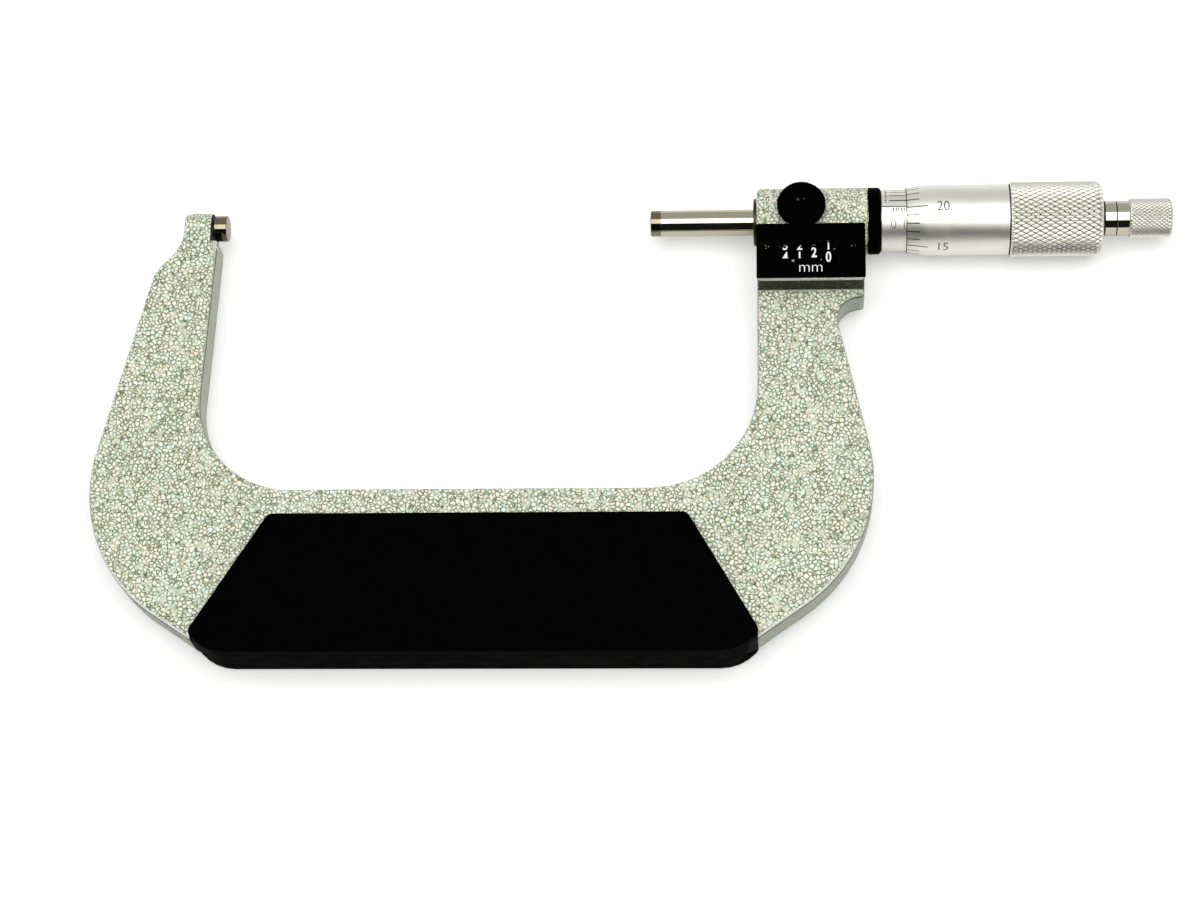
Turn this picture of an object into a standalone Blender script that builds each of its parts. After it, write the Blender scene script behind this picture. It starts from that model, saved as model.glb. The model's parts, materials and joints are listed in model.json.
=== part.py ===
"""Outside micrometer with a mechanical digit counter, lying on its back.

Sizes below are in millimetres. X runs along the measuring line from the anvil
face to the spindle, Y points from the bow to the measuring line, Z points up.
The origin is the middle of the anvil's measuring face.
"""
import math

import bmesh
import bpy
from mathutils import Vector

MM = 0.001
SHARP_ANGLE = math.radians(30)
POINT_GAP = 0.001
FILLET_ROOM = 0.98

# Clearances
SEAT_GAP = 0.1
RUNNING_GAP = 0.05
PEG_GAP = 0.3
GEAR_SIDE_GAP = 0.1

# Measuring line
RANGE_START = 101.6
FACE_RADIUS = 3.175
FACE_CHAMFER = 0.15
CARBIDE_LENGTH = 2.5
ANVIL_REACH = 3.15
ANVIL_STEM_RADIUS = 2.25
ANVIL_STEM_LENGTH = 6.2
SCREW_PITCH = 0.635
TURNS_IN = 4.8
TURNS_OUT = 35.2

# Frame, seen from the front
FRAME_THICKNESS = 10.0
FRAME_EDGE_BEVEL = 0.5
ARM_TIP_WIDTH = 6.95
ARM_TIP_TOP = 3.4
ARM_TIP_ROUNDING = 4.0
THROAT_RIGHT = 130.7
THROAT_DEPTH = 69.6
THROAT_LEAN = 1.3
THROAT_RADIUS_LEFT = 22.85
THROAT_RADIUS_RIGHT = 25.6
BOW_BOTTOM = 108.3
BOW_RADIUS_LEFT = 38.5
BOW_RADIUS_RIGHT = 38.8
BOW_REACH_LEFT = 30.85
BOW_REACH_RIGHT = 32.1
BOW_HIP_LEFT = 22.65
BOW_HIP_RIGHT = 24.65
BOW_FLAT_LEFT = 3.35
BOW_FLAT_RIGHT = 2.4
BOW_FLAT_ROUNDING = 8.0
SHOULDER_REACH = 6.6
SHOULDER_DROP = 13.25
SHOULDER_RISE = 7.25
SHOULDER_OUTER_RADIUS = 7.1
SHOULDER_INNER_RADIUS = 11.0
NECK_WIDTH = 17.75
NECK_ROUNDING = 5.5

# Boss and counter housing on the frame
BOSS_RADIUS = 8.15
BOSS_STEP = 0.2
BOSS_OVERHANG = 1.1
HOUSING_BOTTOM = 20.0
HOUSING_RISE = 3.5
HOUSING_DRAFT = 0.35
HOUSING_LIP = 1.7
GUIDE_BORE_RADIUS = 3.3
CAVITY_SIDE_WALL = 3.6
CAVITY_END_WALL = 3.8
CAVITY_BOTTOM_WALL = 1.1
CAVITY_TOP_WALL = 0.8
CAVITY_FLOOR = -1.75

# Grip shells
GRIP_THICKNESS = 3.4
GRIP_BELOW_THROAT = 7.1
GRIP_INSET_LEFT = 18.45
GRIP_INSET_RIGHT = 16.5
GRIP_SPREAD_LEFT = 17.8
GRIP_SPREAD_RIGHT = 17.0
GRIP_TIP_RAISE = 4.9
GRIP_TIP_INSET = 4.4
GRIP_LIP = 2.1
GRIP_CORNER = 11.0
GRIP_TIP_CORNER = 2.0
GRIP_TOP_CORNER = 2.0
GRIP_EDGE_BEVEL = 0.8
PEG_RADIUS = 1.5
PEG_COUNT = 3
PEG_PITCH = 38.0
PEG_HEIGHT = 16.3
PEG_SKIN = 1.2

# Guide bush, sleeves and nut
BUSH_FLANGE_RADIUS = 5.8
BUSH_FLANGE = 0.65
BUSH_STEM_RADIUS = 4.6
BUSH_STEM_LENGTH = 5.5
STEM_RADIUS = 6.1
STEM_SETBACK = 0.7
COLLAR_LENGTH = 3.0
COLLAR_BEVEL = 0.5
SLEEVE_RADIUS = 7.5
SLEEVE_LENGTH = 32.7
NUT_RADIUS = 7.2
NUT_LENGTH = 3.2
NUT_THREAD_RADIUS = 4.9
NUT_SLOT = 1.4
THREAD_RADIUS = 3.9
THREAD_ENGAGEMENT = 17.0
THREAD_RELIEF_RADIUS = 4.4

# Spindle group
THREAD_SETBACK = 3.95
CONE_CLEARANCE = 1.15
SPINDLE_CONE_RADIUS = 4.7
SPINDLE_CONE_LENGTH = 11.0
SPINDLE_CONE_END_RADIUS = 3.7
ZERO_MARK = 2.95
THIMBLE_EDGE_WALL = 0.25
THIMBLE_WALL = 1.0
THIMBLE_KNURL_RISE = 0.45
THIMBLE_BEVEL = 4.6
THIMBLE_KNURL_LENGTH = 22.3
THIMBLE_END_WALL = 2.0
THIMBLE_END_CHAMFER = 1.6
KEYWAY_WIDTH = 1.2
KEYWAY_DEPTH = 1.0
KEYWAY_END_ROOM = 1.6

# Ratchet
RATCHET_STEM_RADIUS = 4.22
RATCHET_FLANGE = 3.3
RATCHET_SCREW_RADIUS = 1.5
RATCHET_SCREW_LENGTH = 9.0
RATCHET_HUB_RADIUS = 2.2
RATCHET_SHAFT_RADIUS = 1.8
RATCHET_NECK = 3.0
RATCHET_KNURL_RADIUS = 4.68
RATCHET_KNURL_LENGTH = 10.4
RATCHET_TEETH = 12
RATCHET_TOOTH_RADIUS = 3.75
RATCHET_TOOTH_DEPTH = 0.5
RATCHET_CAVITY_DEPTH = 5.2
RATCHET_WEB = 3.6
RATCHET_HEAD_RADIUS = 2.3
RATCHET_HEAD_HEIGHT = 1.3
END_SCREW_RADIUS = 0.8
END_SCREW_LENGTH = 4.8
END_SCREW_SLOT = 0.5
RATCHET_COUNTERBORE_RADIUS = 2.8
PAWL_THICKNESS = 0.25

# Spindle lock
LOCK_INSET = 10.9
LOCK_KNOB_RADIUS = 5.87
LOCK_KNOB_TEETH = 56
LOCK_TOOTH_DEPTH = 0.16
LOCK_DISC_THICKNESS = 2.0
LOCK_BELOW_HOUSING = 0.15
LOCK_DOME = 0.35
KNOB_GAP = 0.25
LOCK_HUB_RADIUS = 3.2
LOCK_HUB_GAP = 0.6
LOCK_SCREW_RADIUS = 1.5
LOCK_SPIGOT_RADIUS = 1.2
LOCK_SHOE_RADIUS = 1.25
LOCK_SHOE_HEIGHT = 1.3
LOCK_SHOE_GAP = 0.16

# Counter
WHEEL_AXIS_Y = -12.7
WHEEL_AXIS_Z = 6.0
WHEEL_RADIUS = 5.0
WHEEL_PITCH = 3.45
WHEEL_COUNT = 4
WHEEL_END_GAP = 0.525
COUNTER_GEAR_GAP = 0.7
DRUM_WIDTH = 2.2
RING_WIDTH = 0.5
WHEEL_HUB_RADIUS = 1.35
WHEEL_SHAFT_RADIUS = 0.75
CARRY_DISC_RADIUS = 3.25
CARRY_LUG = 0.35
BRACKET_SHEET = 0.6
GEAR_WIDTH = 1.8
GEAR_MODULE = 0.32
DRIVE_TEETH = 35
IDLER_TEETH = 20
COUNTER_TEETH = 14
RING_TEETH = 20
PINION_TEETH = 8
RING_MODULE = 0.4
PINION_ANGLE = 235.0
PINION_SHAFT_RADIUS = 0.5
IDLER_SHAFT_RADIUS = 0.6
BACKLASH = 0.08
RING_BACKLASH = 0.2
POCKET_GAP = 0.25

# Counter cover
COVER_THICKNESS = 0.6
COVER_OVERHANG_LEFT = 0.1
COVER_OVERHANG_RIGHT = 0.2
COVER_OVERHANG_TOP = 0.32
COVER_SHORT_BOTTOM = 0.3
COVER_CORNER = 0.3
WINDOW_MARGIN = 0.75
WINDOW_DROP = 0.28
WINDOW_HEIGHT = 3.76
TALL_WINDOW_HEIGHT = 6.1
COVER_SCREW_INSET = 2.5
COVER_SCREW_RAISE = 0.9
COVER_SCREW_RADIUS = 0.55
COVER_SCREW_HEAD_RADIUS = 0.95
COVER_SCREW_HEAD = 0.35
COVER_SCREW_LENGTH = 3.5

# Travel of the spindle from the opening that is modelled
TRAVEL_IN = TURNS_IN * SCREW_PITCH
TRAVEL_OUT = TURNS_OUT * SCREW_PITCH
SPINDLE_FACE = RANGE_START + TRAVEL_IN

# Places along the frame
HALF_FRAME = FRAME_THICKNESS / 2
ARM_SEAT = -ANVIL_REACH
FRAME_BOTTOM = -BOW_BOTTOM
NECK_RIGHT = THROAT_RIGHT + NECK_WIDTH
HOUSING_HEIGHT = BOSS_RADIUS + HOUSING_RISE
HOUSING_TOP = LOCK_KNOB_RADIUS + KNOB_GAP
BOSS_LEFT = THROAT_RIGHT - BOSS_STEP
GRIP_TOP = THROAT_DEPTH + GRIP_BELOW_THROAT
GRIP_TOP_LEFT = ARM_SEAT + GRIP_INSET_LEFT
GRIP_TOP_RIGHT = THROAT_RIGHT - GRIP_INSET_RIGHT
GRIP_BOTTOM = FRAME_BOTTOM - SEAT_GAP - GRIP_LIP
GRIP_FRONT = HALF_FRAME + SEAT_GAP + GRIP_THICKNESS
PEG_LINE = BOW_BOTTOM - PEG_HEIGHT

# Places along the counter, from the left wall of its cavity
CAVITY_LEFT = THROAT_RIGHT + CAVITY_SIDE_WALL
BRACKET_LEFT = CAVITY_LEFT + SEAT_GAP * 3
FIRST_WHEEL_X = BRACKET_LEFT + BRACKET_SHEET + WHEEL_END_GAP + WHEEL_PITCH / 2
LAST_WHEEL_X = FIRST_WHEEL_X + WHEEL_PITCH * (WHEEL_COUNT - 1)
GEAR_LEFT = LAST_WHEEL_X + DRUM_WIDTH / 2 + COUNTER_GEAR_GAP
GEAR_RIGHT = GEAR_LEFT + GEAR_WIDTH
BRACKET_RIGHT = GEAR_RIGHT + GEAR_SIDE_GAP * 3 + BRACKET_SHEET
CAVITY_RIGHT = BRACKET_RIGHT + SEAT_GAP * 3
HOUSING_RIGHT = CAVITY_RIGHT + CAVITY_END_WALL
CAVITY_BOTTOM = -HOUSING_BOTTOM + CAVITY_BOTTOM_WALL
CAVITY_TOP = -HOUSING_TOP - CAVITY_TOP_WALL
DRIVE_RADIUS = GEAR_MODULE * DRIVE_TEETH / 2
IDLER_RADIUS = GEAR_MODULE * IDLER_TEETH / 2
COUNTER_RADIUS = GEAR_MODULE * COUNTER_TEETH / 2
PINION_DISTANCE = RING_MODULE * (RING_TEETH + PINION_TEETH) / 2

# Counter cover and its windows
COVER_BACK = HOUSING_HEIGHT + SEAT_GAP
COVER_FRONT = COVER_BACK + COVER_THICKNESS
COVER_LEFT = THROAT_RIGHT - COVER_OVERHANG_LEFT
COVER_RIGHT = HOUSING_RIGHT + COVER_OVERHANG_RIGHT
COVER_TOP = -HOUSING_TOP + COVER_OVERHANG_TOP
COVER_BOTTOM = -HOUSING_BOTTOM + COVER_SHORT_BOTTOM
WINDOW_LEFT = FIRST_WHEEL_X - DRUM_WIDTH / 2 - WINDOW_MARGIN
WINDOW_SPLIT = LAST_WHEEL_X - DRUM_WIDTH / 2 - WINDOW_MARGIN + RUNNING_GAP
WINDOW_RIGHT = LAST_WHEEL_X + DRUM_WIDTH / 2 + WINDOW_MARGIN - RUNNING_GAP
WINDOW_Y = WHEEL_AXIS_Y - WINDOW_DROP
COVER_SCREW_Y = WHEEL_AXIS_Y + COVER_SCREW_RAISE

# Places along the sleeves and the thimble
BOSS_RIGHT = HOUSING_RIGHT + BOSS_OVERHANG
COLLAR_LEFT = BOSS_RIGHT + SEAT_GAP
COLLAR_RIGHT = COLLAR_LEFT + COLLAR_LENGTH
SLEEVE_LEFT = COLLAR_RIGHT + SEAT_GAP
SLEEVE_RIGHT = SLEEVE_LEFT + SLEEVE_LENGTH
NUT_LEFT = SLEEVE_RIGHT + SEAT_GAP
NUT_RIGHT = NUT_LEFT + NUT_LENGTH
STEM_LEFT = GEAR_RIGHT + STEM_SETBACK
STEM_BORE_RADIUS = STEM_RADIUS + SEAT_GAP
KEYWAY_LEFT = GEAR_LEFT - TRAVEL_OUT - KEYWAY_END_ROOM
KEYWAY_RIGHT = GEAR_RIGHT + TRAVEL_IN + KEYWAY_END_ROOM
SPINDLE_THREAD_START = KEYWAY_RIGHT + THREAD_SETBACK
CONE_LEFT = NUT_RIGHT + TRAVEL_IN + CONE_CLEARANCE
CONE_RIGHT = CONE_LEFT + SPINDLE_CONE_LENGTH
THIMBLE_BORE = SLEEVE_RADIUS + RUNNING_GAP * 2
THIMBLE_EDGE = SLEEVE_LEFT + ZERO_MARK + TRAVEL_IN
THIMBLE_EDGE_RADIUS = THIMBLE_BORE + THIMBLE_EDGE_WALL
THIMBLE_RADIUS = THIMBLE_BORE + THIMBLE_WALL
THIMBLE_KNURL_RADIUS = THIMBLE_RADIUS + THIMBLE_KNURL_RISE
THIMBLE_END = CONE_RIGHT + THIMBLE_END_WALL
THIMBLE_KNURL_START = THIMBLE_END - THIMBLE_KNURL_LENGTH
RATCHET_LEFT = THIMBLE_END + SEAT_GAP
KNOB_LEFT = RATCHET_LEFT + RATCHET_FLANGE + SEAT_GAP
KNOB_RIGHT = KNOB_LEFT + RATCHET_NECK + RATCHET_KNURL_LENGTH
WEB_LEFT = KNOB_LEFT + RATCHET_CAVITY_DEPTH
WEB_RIGHT = WEB_LEFT + RATCHET_WEB

# Places of the spindle lock
LOCK_X = BOSS_LEFT + LOCK_INSET
LOCK_DISC_TOP = HOUSING_HEIGHT - LOCK_BELOW_HOUSING
LOCK_DISC_BOTTOM = LOCK_DISC_TOP - LOCK_DISC_THICKNESS
LOCK_HUB_BOTTOM = BOSS_RADIUS + LOCK_HUB_GAP

scene_objects = bpy.data.collections.new("micrometer")
cutters = bpy.data.collections.new("cutters")


def material(name, colour, roughness, metallic):
    made = bpy.data.materials.new(name)
    made.use_nodes = True
    shader = made.node_tree.nodes["Principled BSDF"]
    shader.inputs["Base Color"].default_value = (*colour, 1.0)
    shader.inputs["Roughness"].default_value = roughness
    shader.inputs["Metallic"].default_value = metallic
    made.diffuse_color = (*colour, 1.0)
    return made


def clear_scene():
    for old in list(bpy.data.objects):
        bpy.data.objects.remove(old)
    bpy.context.scene.collection.children.link(scene_objects)
    bpy.context.scene.collection.children.link(cutters)


def axis_empty(name, x, y, z, parent=None):
    empty = bpy.data.objects.new(name, None)
    empty.empty_display_size = 5 * MM
    empty.location = Vector((x, y, z)) * MM
    empty.parent = parent
    scene_objects.objects.link(empty)
    return empty


def place(name, mesh, paint, parent=None, at=(0, 0, 0), turn=(0, 0, 0)):
    """A named piece. Without paint it is a cutter."""
    piece = bpy.data.objects.new(name, mesh)
    piece.location = Vector(at) * MM
    piece.rotation_euler = turn
    piece.parent = parent
    if paint is None:
        cutters.objects.link(piece)
        piece.display_type = "WIRE"
        piece.hide_render = True
    else:
        scene_objects.objects.link(piece)
        mesh.materials.append(paint)
    return piece


def combine(piece, other, operation):
    step = piece.modifiers.new(f"{operation} {other.name}", "BOOLEAN")
    step.object = other
    step.operation = operation
    step.solver = "EXACT"


def cut(piece, *others):
    for other in others:
        combine(piece, other, "DIFFERENCE")


def fuse(piece, *others):
    for other in others:
        combine(piece, other, "UNION")


# Turned pieces: a profile of (x, radius) points turned about the local X axis
ALONG_Z = (0, -math.pi / 2, 0)
ALONG_Z_BETWEEN = (math.radians(7), -math.pi / 2, 0)


def turned(name, profile, paint, steps=48, parent=None, at=(0, 0, 0), turn=(0, 0, 0)):
    area = sum(a[0] * b[1] - b[0] * a[1] for a, b in zip(profile, profile[1:] + profile[:1]))
    points = profile if area > 0 else profile[::-1]
    mesh = bpy.data.meshes.new(name)
    shape = bmesh.new()
    corners = [shape.verts.new((x * MM, r * MM, 0)) for x, r in points]
    for a, b in zip(corners, corners[1:] + corners[:1]):
        if max(a.co.y, b.co.y) > 0:
            shape.edges.new((a, b))
    shape.to_mesh(mesh)
    shape.free()
    piece = place(name, mesh, paint, parent, at, turn)
    lathe = piece.modifiers.new("lathe", "SCREW")
    lathe.axis = "X"
    lathe.steps = steps
    lathe.render_steps = steps
    lathe.use_merge_vertices = True
    lathe.merge_threshold = 1e-6
    lathe.use_smooth_shade = False
    return piece


def cylinder(name, left, right, radius, paint=None, steps=20, parent=None, at=(0, 0, 0), turn=(0, 0, 0)):
    profile = [(left, 0), (left, radius), (right, radius), (right, 0)]
    return turned(name, profile, paint, steps, parent, at, turn)


def tube(name, left, right, radius, bore, paint=None, steps=40, parent=None, at=(0, 0, 0)):
    profile = [(left, bore), (left, radius), (right, radius), (right, bore)]
    return turned(name, profile, paint, steps, parent, at)


def box(name, low, high, paint=None, parent=None):
    mesh = bpy.data.meshes.new(name)
    shape = bmesh.new()
    bmesh.ops.create_cube(shape, size=1.0)
    size = Vector(high) - Vector(low)
    middle = (Vector(high) + Vector(low)) / 2
    for corner in shape.verts:
        corner.co = Vector(c * s + m for c, s, m in zip(corner.co, size, middle)) * MM
    shape.to_mesh(mesh)
    shape.free()
    return place(name, mesh, paint, parent)


# Flat outlines
IN_YZ = (math.pi / 2, 0, math.pi / 2)
IN_XZ = (math.pi / 2, 0, 0)


def fillet_reaches(places, radii):
    """How far each fillet runs along its edges. Two that share too short an edge get less of it."""
    sides = [after - place for place, after in zip(places, places[1:] + places[:1])]
    reaches = [
        radius / math.tan((-before).angle(after) / 2) if radius > 0 else 0
        for before, after, radius in zip(sides[-1:] + sides[:-1], sides, radii)
    ]
    wanted = [max(a + b, POINT_GAP) for a, b in zip(reaches, reaches[1:] + reaches[:1])]
    shares = [min(1, FILLET_ROOM * side.length / need) for side, need in zip(sides, wanted)]
    return [reach * min(shares[index - 1], shares[index]) for index, reach in enumerate(reaches)]


def rounded(corners, step=math.radians(10)):
    """Points of a closed outline whose corners (x, y, radius) are filleted."""
    places = [Vector(corner[:2]) for corner in corners]
    reaches = fillet_reaches(places, [corner[2] for corner in corners])
    points = []
    for index, (corner, reach) in enumerate(zip(places, reaches)):
        if reach <= 0:
            points.append(corner)
            continue
        back = (places[index - 1] - corner).normalized()
        ahead = (places[(index + 1) % len(places)] - corner).normalized()
        half = back.angle(ahead) / 2
        radius = reach * math.tan(half)
        centre = corner + (back + ahead).normalized() * radius / math.sin(half)
        start = corner + back * reach - centre
        sweep = (corner + ahead * reach - centre).angle_signed(start)
        count = max(2, math.ceil(abs(sweep) / step))
        for k in range(count + 1):
            turn = sweep * k / count
            cos, sin = math.cos(turn), math.sin(turn)
            points.append(centre + Vector((start.x * cos - start.y * sin, start.x * sin + start.y * cos)))
    return points


def circle(radius, count, middle=(0, 0)):
    turns = [2 * math.pi * k / count for k in range(count)]
    return [(middle[0] + radius * math.cos(a), middle[1] + radius * math.sin(a)) for a in turns]


def solid_outline(name, outlines, low, high, paint=None, parent=None, at=(0, 0, 0), turn=(0, 0, 0)):
    """A flat plate of the outlines, holes included, from low to high along its own Z."""
    curve = bpy.data.curves.new(name, "CURVE")
    curve.dimensions = "2D"
    curve.fill_mode = "BOTH"
    curve.extrude = (high - low) / 2 * MM
    for outline in outlines:
        line = curve.splines.new("POLY")
        line.points.add(len(outline) - 1)
        line.use_cyclic_u = True
        for point, (x, y) in zip(line.points, outline):
            point.co = (x * MM, y * MM, 0, 1)
    guide = bpy.data.objects.new(name + "_curve", curve)
    cutters.objects.link(guide)
    view = bpy.context.evaluated_depsgraph_get()
    mesh = bpy.data.meshes.new_from_object(guide.evaluated_get(view))
    bpy.data.objects.remove(guide)
    shape = bmesh.new()
    shape.from_mesh(mesh)
    bmesh.ops.remove_doubles(shape, verts=shape.verts, dist=1e-7)
    bmesh.ops.translate(shape, verts=shape.verts, vec=(0, 0, (high + low) / 2 * MM))
    bmesh.ops.recalc_face_normals(shape, faces=shape.faces)
    bmesh.ops.dissolve_limit(shape, angle_limit=0.001, verts=shape.verts, edges=shape.edges)
    shape.to_mesh(mesh)
    shape.free()
    mesh.name = name
    mesh.materials.clear()
    return place(name, mesh, paint, parent, at, turn)


def bevel_rims(piece, width, segments=2, only_above=None):
    """Rounds the edges of a plate's flat faces."""
    shape = bmesh.new()
    shape.from_mesh(piece.data)
    low = min(v.co.z for v in shape.verts)
    high = max(v.co.z for v in shape.verts)
    levels = [high] if only_above else [low, high]
    rims = [
        edge
        for edge in shape.edges
        if any(all(abs(v.co.z - level) < 1e-7 for v in edge.verts) for level in levels)
    ]
    bmesh.ops.bevel(
        shape,
        geom=rims,
        offset=width * MM,
        segments=segments,
        profile=0.5,
        affect="EDGES",
        clamp_overlap=True,
    )
    bmesh.ops.remove_doubles(shape, verts=shape.verts, dist=POINT_GAP * MM)
    shape.to_mesh(piece.data)
    shape.free()


# Gears
PRESSURE_ANGLE = math.radians(20)


def gear_outline(teeth, module, backlash, start, addendum=0.9):
    """Involute teeth, with the middle of one tooth at the angle start."""
    pitch = teeth * module / 2
    base = pitch * math.cos(PRESSURE_ANGLE)
    root = pitch - 1.2 * module
    tip = pitch + addendum * module
    opening = math.tan(PRESSURE_ANGLE) - PRESSURE_ANGLE

    def half_tooth(radius):
        angle = math.acos(min(1.0, base / radius))
        thickness = math.pi / (2 * teeth) - backlash / (2 * pitch)
        return thickness + opening - (math.tan(angle) - angle)

    flank = [(root, half_tooth(base)), (tip, half_tooth(tip))]
    points = []
    for tooth in range(teeth):
        middle = start + 2 * math.pi * tooth / teeth
        for radius, half in flank:
            points.append((radius * math.cos(middle - half), radius * math.sin(middle - half)))
        for radius, half in reversed(flank):
            points.append((radius * math.cos(middle + half), radius * math.sin(middle + half)))
    return points


def meshing_start(start, teeth, mate_teeth, direction):
    """Where a mate's tooth points so that it meets this gear's teeth along the direction."""
    offset = (start - direction) * teeth / (2 * math.pi)
    return direction + math.pi + (0.5 - offset) * 2 * math.pi / mate_teeth


def idler_centre():
    """Middle of the idler, on the rear side of the line from the spindle to the wheels."""
    distance = math.hypot(WHEEL_AXIS_Y, WHEEL_AXIS_Z)
    first = DRIVE_RADIUS + IDLER_RADIUS
    second = IDLER_RADIUS + COUNTER_RADIUS
    along = (distance**2 + first**2 - second**2) / (2 * distance)
    across = math.sqrt(max(0.0, first**2 - along**2))
    ahead = Vector((WHEEL_AXIS_Y, WHEEL_AXIS_Z)) / distance
    return ahead * along + Vector((-ahead.y, ahead.x)) * across


def pinion_centre():
    angle = math.radians(PINION_ANGLE)
    return Vector((WHEEL_AXIS_Y, WHEEL_AXIS_Z)) + Vector((math.cos(angle), math.sin(angle))) * PINION_DISTANCE


# Frame
def frame_outline():
    under_boss = -2.0
    lip = -HOUSING_BOTTOM - HOUSING_LIP
    arm_left = ARM_SEAT - ARM_TIP_WIDTH
    arm_top = ARM_TIP_TOP + 2
    return rounded(
        [
            (ARM_SEAT, arm_top, 0),
            (ARM_SEAT, -FACE_RADIUS - SEAT_GAP * 3, 0),
            (ARM_SEAT + 1.5, -FACE_RADIUS - 1.9, FRAME_EDGE_BEVEL + 0.3),
            (ARM_SEAT - THROAT_LEAN, -THROAT_DEPTH, THROAT_RADIUS_LEFT),
            (THROAT_RIGHT, -THROAT_DEPTH, THROAT_RADIUS_RIGHT),
            (THROAT_RIGHT, under_boss, 0),
            (HOUSING_RIGHT, under_boss, 0),
            (HOUSING_RIGHT, lip, FRAME_EDGE_BEVEL + 0.3),
            (NECK_RIGHT, lip, NECK_ROUNDING),
            (THROAT_RIGHT + BOW_REACH_RIGHT, FRAME_BOTTOM + BOW_HIP_RIGHT, BOW_RADIUS_RIGHT),
            (THROAT_RIGHT - BOW_FLAT_RIGHT, FRAME_BOTTOM, BOW_FLAT_ROUNDING),
            (ARM_SEAT + BOW_FLAT_LEFT, FRAME_BOTTOM, BOW_FLAT_ROUNDING),
            (ARM_SEAT - BOW_REACH_LEFT, FRAME_BOTTOM + BOW_HIP_LEFT, BOW_RADIUS_LEFT),
            (arm_left - SHOULDER_REACH, -SHOULDER_DROP, SHOULDER_OUTER_RADIUS),
            (arm_left, -SHOULDER_DROP + SHOULDER_RISE, SHOULDER_INNER_RADIUS),
            (arm_left, arm_top, 0),
        ]
    )


def arm_tip_cutters():
    """What is taken off above the arm's tip, so that it is round on top."""
    low = ARM_SEAT - ARM_TIP_WIDTH - 5
    high = ARM_SEAT + 5
    top = ARM_TIP_TOP
    depth = HALF_FRAME + 3
    middle = top - ARM_TIP_ROUNDING
    reach = HALF_FRAME - ARM_TIP_ROUNDING
    arc = [math.radians(a) for a in range(0, 91, 15)]
    front = [(middle + ARM_TIP_ROUNDING * math.sin(a), reach + ARM_TIP_ROUNDING * math.cos(a)) for a in arc]
    back = [(y, -z) for y, z in reversed(front)]
    profile = [(middle, depth)] + front + back + [(middle, -depth), (top + 6, -depth), (top + 6, depth)]
    side = 2.0
    corner = rounded(
        [
            (low - 1, top - side, 0),
            (ARM_SEAT - ARM_TIP_WIDTH, top - side, 0),
            (ARM_SEAT - ARM_TIP_WIDTH, top, side),
            (ARM_SEAT - ARM_TIP_WIDTH + side, top, 0),
            (ARM_SEAT - ARM_TIP_WIDTH + side, top + 6, 0),
            (low - 1, top + 6, 0),
        ]
    )
    return (
        solid_outline("arm_tip_top", [profile], low, high, turn=IN_YZ),
        solid_outline("arm_tip_corner", [corner], -depth, depth),
    )


def housing_block():
    profile = [
        (-HOUSING_BOTTOM - HOUSING_DRAFT, HALF_FRAME - 1),
        (-HOUSING_BOTTOM, HOUSING_HEIGHT),
        (-HOUSING_TOP, HOUSING_HEIGHT),
        (-HOUSING_TOP, LOCK_DISC_BOTTOM - 0.5),
        (-HOUSING_TOP + 1.6, BOSS_RADIUS - 1.1),
        (-HOUSING_TOP + 3.6, HALF_FRAME - 1),
    ]
    return solid_outline("housing_block", [profile], THROAT_RIGHT, HOUSING_RIGHT, turn=IN_YZ)


def boss_bore():
    """Seat of the bush, guide of the spindle, then the wide bore of the gear and the sleeve."""
    bush_end = BOSS_LEFT + BUSH_STEM_LENGTH + SEAT_GAP
    gear_room = GEAR_LEFT - GEAR_SIDE_GAP * 3
    profile = [
        (BOSS_LEFT - 1, 0),
        (BOSS_LEFT - 1, BUSH_STEM_RADIUS + SEAT_GAP),
        (bush_end, BUSH_STEM_RADIUS + SEAT_GAP),
        (bush_end, GUIDE_BORE_RADIUS),
        (gear_room, GUIDE_BORE_RADIUS),
        (gear_room, STEM_BORE_RADIUS),
        (BOSS_RIGHT + 1, STEM_BORE_RADIUS),
        (BOSS_RIGHT + 1, 0),
    ]
    return turned("boss_bore", profile, None, 32, turn=(math.radians(4), 0, 0))


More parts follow.
